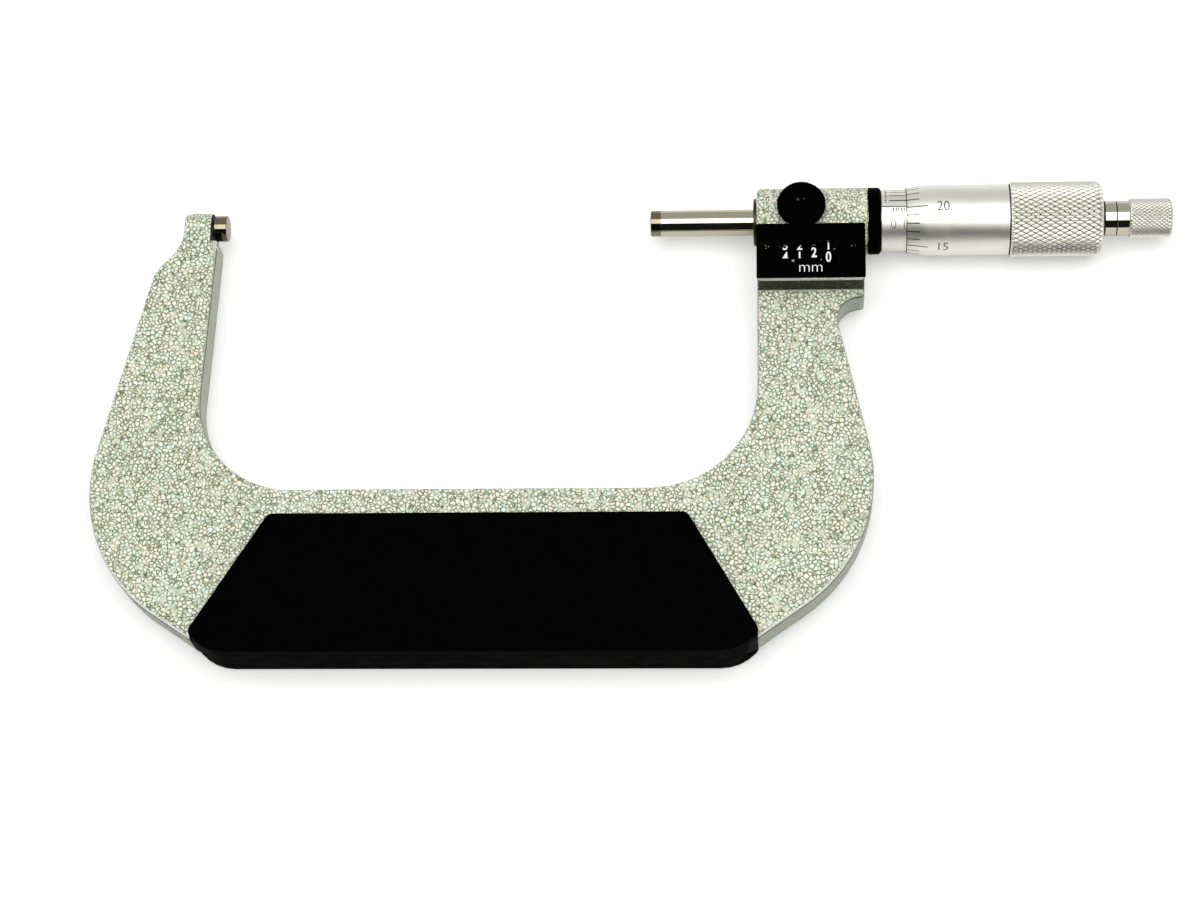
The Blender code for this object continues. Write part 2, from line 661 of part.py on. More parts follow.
def make_frame(paint):
    frame = solid_outline("frame", [frame_outline()], -HALF_FRAME, HALF_FRAME, paint)
    bevel_rims(frame, FRAME_EDGE_BEVEL, 1)
    cut(frame, *arm_tip_cutters())
    boss_profile = [
        (BOSS_LEFT, 0),
        (BOSS_LEFT, BOSS_RADIUS - 0.4),
        (BOSS_LEFT + 0.4, BOSS_RADIUS),
        (BOSS_RIGHT, BOSS_RADIUS),
        (BOSS_RIGHT, 0),
    ]
    fuse(frame, turned("boss", boss_profile, None, 44), housing_block())
    idler = idler_centre()
    pocket_radius = IDLER_RADIUS + GEAR_MODULE + POCKET_GAP
    cavity_low = (CAVITY_LEFT, CAVITY_BOTTOM, CAVITY_FLOOR)
    cavity_high = (CAVITY_RIGHT, CAVITY_TOP, HOUSING_HEIGHT + 1)
    cut(
        frame,
        cylinder("anvil_hole", ARM_SEAT - ANVIL_STEM_LENGTH - SEAT_GAP, 1, ANVIL_STEM_RADIUS + SEAT_GAP),
        boss_bore(),
        box("counter_cavity", cavity_low, cavity_high),
        cylinder(
            "idler_pocket",
            GEAR_LEFT - GEAR_SIDE_GAP * 3,
            GEAR_RIGHT + GEAR_SIDE_GAP * 2,
            pocket_radius,
            at=(0, idler.x, idler.y),
        ),
        cylinder(
            "lock_hole",
            1,
            BOSS_RADIUS + 1,
            LOCK_SCREW_RADIUS + SEAT_GAP,
            at=(LOCK_X, 0, 0),
            turn=ALONG_Z_BETWEEN,
        ),
    )
    for index, x in enumerate(cover_screw_places()):
        hole = cylinder(
            f"cover_screw_hole_{index}",
            HOUSING_HEIGHT - COVER_SCREW_LENGTH - 0.5,
            HOUSING_HEIGHT + 1,
            COVER_SCREW_RADIUS + SEAT_GAP,
            steps=12,
            at=(x, COVER_SCREW_Y, 0),
            turn=ALONG_Z,
        )
        cut(frame, hole)
    for index, x in enumerate(peg_places()):
        hole = cylinder(
            f"peg_hole_{index}",
            -HALF_FRAME - 1,
            HALF_FRAME + 1,
            PEG_RADIUS + PEG_GAP,
            steps=16,
            at=(x, -PEG_LINE, 0),
            turn=ALONG_Z,
        )
        cut(frame, hole)
    return frame


# Anvil
def make_anvil(steel, carbide):
    flange = ARM_SEAT + SEAT_GAP
    head = -CARBIDE_LENGTH - RUNNING_GAP
    profile = [
        (ARM_SEAT - ANVIL_STEM_LENGTH, 0),
        (ARM_SEAT - ANVIL_STEM_LENGTH, ANVIL_STEM_RADIUS),
        (flange, ANVIL_STEM_RADIUS),
        (flange, FACE_RADIUS),
        (head, FACE_RADIUS),
        (head, 0),
    ]
    turned("anvil", profile, steel, 28)
    tip = [
        (-CARBIDE_LENGTH, 0),
        (-CARBIDE_LENGTH, FACE_RADIUS),
        (-FACE_CHAMFER, FACE_RADIUS),
        (0, FACE_RADIUS - FACE_CHAMFER),
        (0, 0),
    ]
    turned("anvil_tip", tip, carbide, 28)


# Grips
def peg_places():
    middle = (GRIP_TOP_LEFT + GRIP_TOP_RIGHT) / 2
    return [middle + (k - (PEG_COUNT - 1) / 2) * PEG_PITCH for k in range(PEG_COUNT)]


def grip_outline():
    left = GRIP_TOP_LEFT - GRIP_SPREAD_LEFT
    right = GRIP_TOP_RIGHT + GRIP_SPREAD_RIGHT
    return rounded(
        [
            (GRIP_TOP_LEFT, -GRIP_TOP, GRIP_TOP_CORNER),
            (left, GRIP_BOTTOM + GRIP_TIP_RAISE, GRIP_TIP_CORNER),
            (left + GRIP_TIP_INSET, GRIP_BOTTOM, GRIP_CORNER),
            (right - GRIP_TIP_INSET, GRIP_BOTTOM, GRIP_CORNER),
            (right, GRIP_BOTTOM + GRIP_TIP_RAISE, GRIP_TIP_CORNER),
            (GRIP_TOP_RIGHT, -GRIP_TOP, GRIP_TOP_CORNER),
        ],
        math.radians(15),
    )


def make_grips(paint):
    joint = SEAT_GAP / 2
    front = solid_outline("front_grip", [grip_outline()], joint, GRIP_FRONT, paint)
    rear = solid_outline("rear_grip", [grip_outline()], joint, GRIP_FRONT, paint, turn=(0, math.pi, 0))
    bevel_rims(front, GRIP_EDGE_BEVEL, only_above=True)
    bevel_rims(rear, GRIP_EDGE_BEVEL, only_above=True)
    for corner in rear.data.vertices:
        corner.co.x = -corner.co.x
    rear.data.flip_normals()
    face = HALF_FRAME + SEAT_GAP
    room = box("grip_room", (-60, FRAME_BOTTOM - SEAT_GAP, -face), (220, 0, face))
    cut(front, room)
    cut(rear, room)
    tip = -GRIP_FRONT + PEG_SKIN
    for index, x in enumerate(peg_places()):
        at = (x, -PEG_LINE, 0)
        peg = cylinder(f"peg_{index}", tip + SEAT_GAP, face + 1, PEG_RADIUS, steps=16, at=at, turn=ALONG_Z)
        bore = PEG_RADIUS + SEAT_GAP
        socket = cylinder(f"socket_{index}", tip, -face + 1, bore, steps=16, at=at, turn=ALONG_Z)
        fuse(front, peg)
        cut(rear, socket)


# Bush, collar, sleeves, nut
def make_sleeves(steel, black, chrome, brass):
    bush = [
        (BOSS_LEFT - SEAT_GAP - BUSH_FLANGE, FACE_RADIUS + RUNNING_GAP),
        (BOSS_LEFT - SEAT_GAP - BUSH_FLANGE, BUSH_FLANGE_RADIUS - 0.2),
        (BOSS_LEFT - SEAT_GAP - BUSH_FLANGE + 0.2, BUSH_FLANGE_RADIUS),
        (BOSS_LEFT - SEAT_GAP, BUSH_FLANGE_RADIUS),
        (BOSS_LEFT - SEAT_GAP, BUSH_STEM_RADIUS),
        (BOSS_LEFT + BUSH_STEM_LENGTH, BUSH_STEM_RADIUS),
        (BOSS_LEFT + BUSH_STEM_LENGTH, FACE_RADIUS + RUNNING_GAP),
    ]
    turned("front_bush", bush, steel, 28)
    collar = [
        (COLLAR_LEFT, STEM_BORE_RADIUS),
        (COLLAR_LEFT, BOSS_RADIUS),
        (COLLAR_RIGHT - COLLAR_BEVEL, BOSS_RADIUS),
        (COLLAR_RIGHT, BOSS_RADIUS - COLLAR_BEVEL),
        (COLLAR_RIGHT, STEM_BORE_RADIUS),
    ]
    turned("sleeve_collar", collar, black, 36)
    tube("outer_sleeve", SLEEVE_LEFT, SLEEVE_RIGHT, SLEEVE_RADIUS, STEM_BORE_RADIUS, chrome)
    thread = NUT_RIGHT - THREAD_ENGAGEMENT
    inner = [
        (STEM_LEFT, THREAD_RELIEF_RADIUS),
        (STEM_LEFT, STEM_RADIUS),
        (SLEEVE_RIGHT, STEM_RADIUS),
        (SLEEVE_RIGHT, NUT_THREAD_RADIUS - RUNNING_GAP),
        (NUT_RIGHT, NUT_THREAD_RADIUS - RUNNING_GAP),
        (NUT_RIGHT, THREAD_RADIUS + RUNNING_GAP),
        (thread, THREAD_RADIUS + RUNNING_GAP),
        (thread - 1, THREAD_RELIEF_RADIUS),
    ]
    turned("inner_sleeve", inner, steel, 24)
    nut = tube("adjusting_nut", NUT_LEFT, NUT_RIGHT, NUT_RADIUS, NUT_THREAD_RADIUS, brass, 28)
    half = NUT_SLOT / 2
    rim = NUT_THREAD_RADIUS + 0.8
    for side, (low, high) in enumerate([(rim, NUT_RADIUS + 1), (-NUT_RADIUS - 1, -rim)]):
        cut(nut, box(f"nut_slot_{side}", (NUT_LEFT - 1, low, -half), (NUT_RIGHT + 1, high, half)))


# Spindle group
def make_spindle(axis, steel, carbide):
    face = SPINDLE_FACE + CARBIDE_LENGTH + RUNNING_GAP
    profile = [
        (face, 0),
        (face, FACE_RADIUS),
        (SPINDLE_THREAD_START - 1.5, FACE_RADIUS),
        (SPINDLE_THREAD_START, THREAD_RADIUS),
        (CONE_LEFT - 0.6, THREAD_RADIUS),
        (CONE_LEFT, SPINDLE_CONE_RADIUS),
        (CONE_RIGHT, SPINDLE_CONE_END_RADIUS),
        (CONE_RIGHT, RATCHET_SCREW_RADIUS + RUNNING_GAP),
        (CONE_RIGHT - RATCHET_SCREW_LENGTH, RATCHET_SCREW_RADIUS + RUNNING_GAP),
        (CONE_RIGHT - RATCHET_SCREW_LENGTH, 0),
    ]
    spindle = turned("spindle", profile, steel, 28, axis)
    half = KEYWAY_WIDTH / 2
    bottom = -FACE_RADIUS + KEYWAY_DEPTH
    cut(spindle, box("keyway", (KEYWAY_LEFT, -half, -FACE_RADIUS - 2), (KEYWAY_RIGHT, half, bottom)))
    left = SPINDLE_FACE
    tip = [
        (left, 0),
        (left, FACE_RADIUS - FACE_CHAMFER),
        (left + FACE_CHAMFER, FACE_RADIUS),
        (left + CARBIDE_LENGTH, FACE_RADIUS),
        (left + CARBIDE_LENGTH, 0),
    ]
    turned("spindle_tip", tip, carbide, 28, axis)


def make_thimble(axis, chrome):
    chamfer = THIMBLE_END_CHAMFER
    profile = [
        (THIMBLE_EDGE, THIMBLE_BORE),
        (THIMBLE_EDGE, THIMBLE_EDGE_RADIUS),
        (THIMBLE_EDGE + THIMBLE_BEVEL, THIMBLE_RADIUS),
        (THIMBLE_KNURL_START, THIMBLE_RADIUS),
        (THIMBLE_KNURL_START + 0.3, THIMBLE_KNURL_RADIUS),
        (THIMBLE_END - chamfer, THIMBLE_KNURL_RADIUS),
        (THIMBLE_END, THIMBLE_KNURL_RADIUS - chamfer),
        (THIMBLE_END, SPINDLE_CONE_END_RADIUS + SEAT_GAP),
        (CONE_RIGHT, SPINDLE_CONE_END_RADIUS + SEAT_GAP),
        (CONE_LEFT, SPINDLE_CONE_RADIUS + SEAT_GAP),
        (CONE_LEFT - 0.2, THIMBLE_BORE),
    ]
    turned("thimble", profile, chrome, 36, axis)


def make_ratchet(axis, knob_axis, steel, chrome):
    hub_left = KNOB_LEFT + RUNNING_GAP
    hub_right = WEB_LEFT - SEAT_GAP
    shaft_end = WEB_RIGHT + SEAT_GAP
    inner_end = CONE_RIGHT + SEAT_GAP
    screw_left = CONE_RIGHT - RATCHET_SCREW_LENGTH + SEAT_GAP * 3
    seat = SPINDLE_CONE_END_RADIUS - SEAT_GAP * 2
    tapped = shaft_end - END_SCREW_LENGTH - SEAT_GAP * 2
    stem = [
        (screw_left, 0),
        (screw_left, RATCHET_SCREW_RADIUS),
        (inner_end, RATCHET_SCREW_RADIUS),
        (inner_end, seat),
        (RATCHET_LEFT, seat),
        (RATCHET_LEFT, RATCHET_STEM_RADIUS),
        (RATCHET_LEFT + RATCHET_FLANGE, RATCHET_STEM_RADIUS),
        (RATCHET_LEFT + RATCHET_FLANGE, RATCHET_HUB_RADIUS),
        (hub_right, RATCHET_HUB_RADIUS),
        (hub_right, RATCHET_SHAFT_RADIUS),
        (shaft_end, RATCHET_SHAFT_RADIUS),
        (shaft_end, END_SCREW_RADIUS + RUNNING_GAP),
        (tapped, END_SCREW_RADIUS + RUNNING_GAP),
        (tapped, 0),
    ]
    turned("ratchet_stem", stem, steel, 20, axis)
    head = shaft_end + RUNNING_GAP
    head_top = head + RATCHET_HEAD_HEIGHT
    screw = [
        (shaft_end - END_SCREW_LENGTH, 0),
        (shaft_end - END_SCREW_LENGTH, END_SCREW_RADIUS),
        (head, END_SCREW_RADIUS),
        (head, RATCHET_HEAD_RADIUS),
        (head_top - 0.4, RATCHET_HEAD_RADIUS),
        (head_top, RATCHET_HEAD_RADIUS - 0.5),
        (head_top, 0),
    ]
    end_screw = turned("ratchet_screw", screw, steel, 16, axis)
    half_slot = END_SCREW_SLOT / 2
    slot_low = (head_top - 0.6, -half_slot, -RATCHET_HEAD_RADIUS - 1)
    slot_high = (head_top + 1, half_slot, RATCHET_HEAD_RADIUS + 1)
    cut(end_screw, box("end_screw_slot", slot_low, slot_high))
    knurl_left = KNOB_LEFT + RATCHET_NECK
    knob = [
        (KNOB_LEFT, 0),
        (KNOB_LEFT, RATCHET_STEM_RADIUS),
        (knurl_left, RATCHET_STEM_RADIUS),
        (knurl_left + 0.3, RATCHET_KNURL_RADIUS),
        (KNOB_RIGHT - 0.9, RATCHET_KNURL_RADIUS),
        (KNOB_RIGHT, RATCHET_KNURL_RADIUS - 0.7),
        (KNOB_RIGHT, 0),
    ]
    bore = [
        (KNOB_LEFT + 1, 0),
        (KNOB_LEFT + 1, RATCHET_SHAFT_RADIUS + RUNNING_GAP),
        (WEB_RIGHT, RATCHET_SHAFT_RADIUS + RUNNING_GAP),
        (WEB_RIGHT, RATCHET_COUNTERBORE_RADIUS),
        (KNOB_RIGHT + 1, RATCHET_COUNTERBORE_RADIUS),
        (KNOB_RIGHT + 1, 0),
    ]
    turning = turned("ratchet_knob", knob, chrome, 32, knob_axis)
    cut(
        turning,
        solid_outline("ratchet_teeth", [ratchet_outline()], KNOB_LEFT - 1, WEB_LEFT, turn=IN_YZ),
        turned("web_bore", bore, None, 18, knob_axis),
    )
    solid_outline(
        "ratchet_spring", [pawl_outline()], hub_left + 0.6, hub_right - 0.6, steel, axis, turn=IN_YZ
    )


def ratchet_outline():
    points = []
    for tooth in range(RATCHET_TEETH):
        start = 2 * math.pi * tooth / RATCHET_TEETH
        end = 2 * math.pi * (tooth + 0.94) / RATCHET_TEETH
        inner = RATCHET_TOOTH_RADIUS - RATCHET_TOOTH_DEPTH
        points.append((RATCHET_TOOTH_RADIUS * math.cos(start), RATCHET_TOOTH_RADIUS * math.sin(start)))
        points.append((inner * math.cos(end), inner * math.sin(end)))
    return points


def pawl_outline():
    """A leaf that clips round the hub and reaches into one tooth space."""
    inner = RATCHET_HUB_RADIUS + RUNNING_GAP
    outer = inner + PAWL_THICKNESS
    clip = [math.radians(a) for a in range(60, 346, 15)]
    outside = [(outer * math.cos(a), outer * math.sin(a)) for a in clip]
    inside = [(inner * math.cos(a), inner * math.sin(a)) for a in reversed(clip)]
    free_end = math.radians(364)
    reach = RATCHET_TOOTH_RADIUS - RATCHET_TOOTH_DEPTH * 0.45
    tip_out = (reach * math.cos(free_end), reach * math.sin(free_end))
    thin = reach - PAWL_THICKNESS
    tip_in = (thin * math.cos(free_end), thin * math.sin(free_end))
    return outside + [tip_out, tip_in] + inside


# Spindle lock
def make_lock(slide_axis, knob_axis, black, steel, brass):
    shoe_bottom = FACE_RADIUS + LOCK_SHOE_GAP
    shoe_top = shoe_bottom + LOCK_SHOE_HEIGHT
    cylinder("lock_shoe", shoe_bottom, shoe_top, LOCK_SHOE_RADIUS, brass, 16, slide_axis, turn=ALONG_Z)
    spigot_top = LOCK_DISC_TOP - 0.6
    screw = [
        (shoe_top + RUNNING_GAP, 0),
        (shoe_top + RUNNING_GAP, LOCK_SCREW_RADIUS - 0.3),
        (shoe_top + RUNNING_GAP + 0.3, LOCK_SCREW_RADIUS),
        (LOCK_HUB_BOTTOM - SEAT_GAP, LOCK_SCREW_RADIUS),
        (LOCK_HUB_BOTTOM - SEAT_GAP, LOCK_SPIGOT_RADIUS),
        (spigot_top, LOCK_SPIGOT_RADIUS),
        (spigot_top, 0),
    ]
    turned("lock_screw", screw, steel, 18, knob_axis, turn=ALONG_Z)
    rim = []
    for tooth in range(LOCK_KNOB_TEETH):
        for share, radius in ((0, LOCK_KNOB_RADIUS), (0.5, LOCK_KNOB_RADIUS - LOCK_TOOTH_DEPTH)):
            angle = 2 * math.pi * (tooth + share) / LOCK_KNOB_TEETH
            rim.append((radius * math.cos(angle), radius * math.sin(angle)))
    turning = solid_outline("lock_knob", [rim], LOCK_DISC_BOTTOM, LOCK_DISC_TOP, black, knob_axis)
    under = [
        (LOCK_HUB_BOTTOM, 0),
        (LOCK_HUB_BOTTOM, LOCK_HUB_RADIUS),
        (LOCK_DISC_BOTTOM + 0.2, LOCK_KNOB_RADIUS - 0.7),
        (LOCK_DISC_BOTTOM + 0.2, 0),
    ]
    dome = [
        (LOCK_DISC_TOP - 0.2, 0),
        (LOCK_DISC_TOP - 0.2, LOCK_KNOB_RADIUS - 0.4),
        (LOCK_DISC_TOP + LOCK_DOME, LOCK_KNOB_RADIUS * 0.6),
        (LOCK_DISC_TOP + LOCK_DOME, 0),
    ]
    fuse(
        turning,
        turned("knob_under", under, None, 24, knob_axis, turn=ALONG_Z_BETWEEN),
        turned("knob_dome", dome, None, 24, knob_axis, turn=ALONG_Z_BETWEEN),
    )
    spigot_hole = cylinder(
        "spigot_hole",
        LOCK_HUB_BOTTOM - 1,
        spigot_top + SEAT_GAP,
        LOCK_SPIGOT_RADIUS + SEAT_GAP,
        parent=knob_axis,
        turn=ALONG_Z,
    )
    cut(turning, spigot_hole)


# Counter
def make_drive(axis, idler_axis, steel, brass):
    """Gear and key round the spindle, the idler, and the idler's shaft."""
    idler = idler_centre()
    toward_idler = math.atan2(idler.y, idler.x)
    gear = solid_outline(
        "drive_gear",
        [
            gear_outline(DRIVE_TEETH, GEAR_MODULE, BACKLASH, toward_idler),
            circle(FACE_RADIUS + RUNNING_GAP * 2, 32),
        ],
        GEAR_LEFT,
        GEAR_RIGHT,
        brass,
        axis,
        turn=IN_YZ,
    )
    half = KEYWAY_WIDTH / 2
    key_top = -FACE_RADIUS + KEYWAY_DEPTH - SEAT_GAP
    key_bottom = -DRIVE_RADIUS + GEAR_MODULE * 3.2
    cut(gear, box("gear_slot", (GEAR_LEFT - 1, -half, key_bottom - RUNNING_GAP), (GEAR_RIGHT + 1, half, -1)))
    key_low = (GEAR_LEFT + SEAT_GAP, -half + RUNNING_GAP, key_bottom)
    key_high = (GEAR_RIGHT - SEAT_GAP, half - RUNNING_GAP, key_top)
    box("drive_key", key_low, key_high, steel, axis)
    start = meshing_start(toward_idler, DRIVE_TEETH, IDLER_TEETH, toward_idler)
    solid_outline(
        "idler_gear",
        [
            gear_outline(IDLER_TEETH, GEAR_MODULE, BACKLASH, start),
            circle(IDLER_SHAFT_RADIUS + RUNNING_GAP, 20),
        ],
        GEAR_LEFT + RUNNING_GAP,
        GEAR_RIGHT - RUNNING_GAP,
        brass,
        idler_axis,
        turn=IN_YZ,
    )
    left = GEAR_LEFT - 0.4
    right = BRACKET_RIGHT
    cylinder("idler_shaft", left, right, IDLER_SHAFT_RADIUS, steel, 20, at=(0, idler.x, idler.y))
    return start


def make_wheel(name, x, axis, paint, with_ring, with_carry, hub_right):
    """A drum with the ring that its pinion turns and the disc that turns the next pinion."""
    half = WHEEL_PITCH / 2 - RUNNING_GAP
    drum = DRUM_WIDTH / 2
    side = CARRY_DISC_RADIUS if with_carry else WHEEL_HUB_RADIUS
    profile = [
        (-half, 0),
        (-half, WHEEL_HUB_RADIUS),
        (-drum - RING_WIDTH, WHEEL_HUB_RADIUS),
        (-drum - RING_WIDTH, side),
        (-drum, side),
        (-drum, WHEEL_RADIUS),
        (drum, WHEEL_RADIUS),
        (drum, WHEEL_HUB_RADIUS),
        (hub_right, WHEEL_HUB_RADIUS),
        (hub_right, 0),
    ]
    if not with_carry:
        profile.pop(3)
    wheel = turned(name, profile, paint, 24, axis, at=(x, 0, 0))
    if with_ring:
        start = math.radians(PINION_ANGLE)
        teeth = gear_outline(RING_TEETH, RING_MODULE, RING_BACKLASH, start, 0.6)
        ring = solid_outline(
            f"{name}_ring", [teeth], drum - 0.1, drum + RING_WIDTH, parent=axis, at=(x, 0, 0), turn=IN_YZ
        )
        fuse(wheel, ring)
    if with_carry:
        for side in (-1, 1):
            middle = side * 0.55
            lug = box(
                f"{name}_lug_{side}",
                (x - drum - RING_WIDTH, middle - 0.2, CARRY_DISC_RADIUS - 0.5),
                (x - drum + 0.1, middle + 0.2, CARRY_DISC_RADIUS + CARRY_LUG),
                parent=axis,
            )
            fuse(wheel, lug)
    return wheel


def make_counter(wheel_axis, pinion_axis, idler_start, digit_paint, brass, steel):
    names = ["wheel_inches", "wheel_tenths", "wheel_hundredths", "wheel_thousandths"]
    places = [FIRST_WHEEL_X + WHEEL_PITCH * k for k in range(WHEEL_COUNT)]
    for index, (name, x) in enumerate(zip(names, places)):
        last = index == WHEEL_COUNT - 1
        hub_right = GEAR_LEFT + 0.1 - x if last else WHEEL_PITCH / 2 - RUNNING_GAP
        wheel = make_wheel(name, x, wheel_axis, digit_paint, not last, index > 0, hub_right)
        if last:
            fuse(wheel, counter_gear(wheel_axis, idler_start))
        bore = (x - WHEEL_PITCH, GEAR_RIGHT + 1, WHEEL_SHAFT_RADIUS + RUNNING_GAP)
        cut(wheel, cylinder(f"{name}_bore", *bore, parent=wheel_axis))
    pinion_names = ["carry_pinion_left", "carry_pinion_middle", "carry_pinion_right"]
    direction = math.radians(PINION_ANGLE)
    start = meshing_start(direction, RING_TEETH, PINION_TEETH, direction)
    outlines = [
        gear_outline(PINION_TEETH, RING_MODULE, RING_BACKLASH, start, 0.6),
        circle(PINION_SHAFT_RADIUS + RUNNING_GAP, 16),
    ]
    for name, x in zip(pinion_names, places):
        left = x + DRUM_WIDTH / 2 + RUNNING_GAP
        right = x + WHEEL_PITCH - DRUM_WIDTH / 2 - RUNNING_GAP
        solid_outline(name, outlines, left, right, brass, pinion_axis, turn=IN_YZ)
    wheel_shaft = (BRACKET_LEFT, BRACKET_RIGHT, WHEEL_SHAFT_RADIUS)
    cylinder("counter_shaft", *wheel_shaft, steel, 20, at=(0, WHEEL_AXIS_Y, WHEEL_AXIS_Z))
    pinion = pinion_centre()
    pinion_shaft = (BRACKET_LEFT, BRACKET_RIGHT, PINION_SHAFT_RADIUS)
    cylinder("pinion_shaft", *pinion_shaft, steel, 16, at=(0, pinion.x, pinion.y))


def counter_gear(axis, idler_start):
    """The gear beside the last wheel, in mesh with the idler."""
    idler = idler_centre()
    direction = math.atan2(WHEEL_AXIS_Z - idler.y, WHEEL_AXIS_Y - idler.x)
    start = meshing_start(idler_start, IDLER_TEETH, COUNTER_TEETH, direction)
    teeth = gear_outline(COUNTER_TEETH, GEAR_MODULE, BACKLASH, start)
    return solid_outline("counter_gear", [teeth], GEAR_LEFT, GEAR_RIGHT, parent=axis, turn=IN_YZ)


def make_bracket(paint):
    low = CAVITY_FLOOR + SEAT_GAP
    high = COVER_BACK - SEAT_GAP * 3
    sheet = BRACKET_SHEET
    outline = [
        (BRACKET_LEFT, low),
        (BRACKET_RIGHT, low),
        (BRACKET_RIGHT, high),
        (BRACKET_RIGHT - sheet, high),
        (BRACKET_RIGHT - sheet, low + sheet),
        (BRACKET_LEFT + sheet, low + sheet),
        (BRACKET_LEFT + sheet, high),
        (BRACKET_LEFT, high),
    ]
    near = -CAVITY_TOP + SEAT_GAP * 3
    far = -CAVITY_BOTTOM - SEAT_GAP * 3
    bracket = solid_outline("counter_bracket", [outline], near, far, paint, turn=IN_XZ)
    idler = idler_centre()
    pinion = pinion_centre()
    middle = (BRACKET_LEFT + BRACKET_RIGHT) / 2
    shaft_holes = [
        ("wheel_shaft_hole", BRACKET_LEFT - 1, WHEEL_SHAFT_RADIUS, 20, (0, WHEEL_AXIS_Y, WHEEL_AXIS_Z)),
        ("pinion_shaft_hole", BRACKET_LEFT - 1, PINION_SHAFT_RADIUS, 16, (0, pinion.x, pinion.y)),
        ("idler_shaft_hole", middle, IDLER_SHAFT_RADIUS, 20, (0, idler.x, idler.y)),
    ]
    for name, left, radius, steps, at in shaft_holes:
        cut(bracket, cylinder(name, left, BRACKET_RIGHT + 1, radius + RUNNING_GAP, steps=steps, at=at))


# Counter cover
def cover_screw_places():
    return [THROAT_RIGHT + COVER_SCREW_INSET, HOUSING_RIGHT - COVER_SCREW_INSET]


def make_cover(black):
    outline = rounded(
        [
            (COVER_LEFT, COVER_BOTTOM, COVER_CORNER),
            (COVER_RIGHT, COVER_BOTTOM, COVER_CORNER),
            (COVER_RIGHT, COVER_TOP, COVER_CORNER),
            (COVER_LEFT, COVER_TOP, COVER_CORNER),
        ],
        math.radians(30),
    )
    cover = solid_outline("counter_cover", [outline], COVER_BACK, COVER_FRONT, black)
    half = WINDOW_HEIGHT / 2
    tall = TALL_WINDOW_HEIGHT / 2
    low = COVER_BACK - 1
    high = COVER_FRONT + 1
    join = WINDOW_SPLIT + SEAT_GAP
    window = box("window", (WINDOW_LEFT, WINDOW_Y - half, low), (join, WINDOW_Y + half, high))
    tall_low = (WINDOW_SPLIT, WINDOW_Y - tall, low)
    tall_high = (WINDOW_RIGHT, WINDOW_Y + tall, high)
    cut(cover, window, box("tall_window", tall_low, tall_high))
    head_top = COVER_FRONT + 0.05
    head_bottom = head_top - COVER_SCREW_HEAD
    for name, x in zip(("cover_screw_left", "cover_screw_right"), cover_screw_places()):
        at = (x, COVER_SCREW_Y, 0)
        seat_profile = [
            (COVER_BACK - 1, 0),
            (COVER_BACK - 1, COVER_SCREW_RADIUS + SEAT_GAP),
            (head_bottom - SEAT_GAP, COVER_SCREW_RADIUS + SEAT_GAP),
            (head_bottom - SEAT_GAP, COVER_SCREW_HEAD_RADIUS + SEAT_GAP),
            (COVER_FRONT + 1, COVER_SCREW_HEAD_RADIUS + SEAT_GAP),
            (COVER_FRONT + 1, 0),
        ]
        cut(cover, turned(f"{name}_seat", seat_profile, None, 16, at=at, turn=ALONG_Z))
        profile = [
            (HOUSING_HEIGHT - COVER_SCREW_LENGTH, 0),
            (HOUSING_HEIGHT - COVER_SCREW_LENGTH, COVER_SCREW_RADIUS),
            (head_bottom, COVER_SCREW_RADIUS),
            (head_bottom, COVER_SCREW_HEAD_RADIUS),
            (head_top, COVER_SCREW_HEAD_RADIUS),
            (head_top, 0),
        ]
        screw = turned(name, profile, black, 16, at=at, turn=ALONG_Z)
        slot_low = (x - COVER_SCREW_HEAD_RADIUS - 1, COVER_SCREW_Y - 0.12, head_top - 0.2)
        slot_high = (x + COVER_SCREW_HEAD_RADIUS + 1, COVER_SCREW_Y + 0.12, head_top + 1)
        cut(screw, box(f"{name}_slot", slot_low, slot_high))


def smooth_round_faces():
    """Keeps each finished mesh in place of its modifiers, smooth on the rounds, sharp at the edges."""
    view = bpy.context.evaluated_depsgraph_get()
    pieces = [piece for piece in scene_objects.objects if piece.type == "MESH"]
    finished = [bpy.data.meshes.new_from_object(piece.evaluated_get(view)) for piece in pieces]
    for piece, mesh in zip(pieces, finished):
        piece.modifiers.clear()
        piece.data = mesh
        mesh.name = piece.name
        mesh.shade_smooth()
        mesh.set_sharp_from_angle(angle=SHARP_ANGLE)
    for cutter in list(cutters.objects):
        bpy.data.objects.remove(cutter)


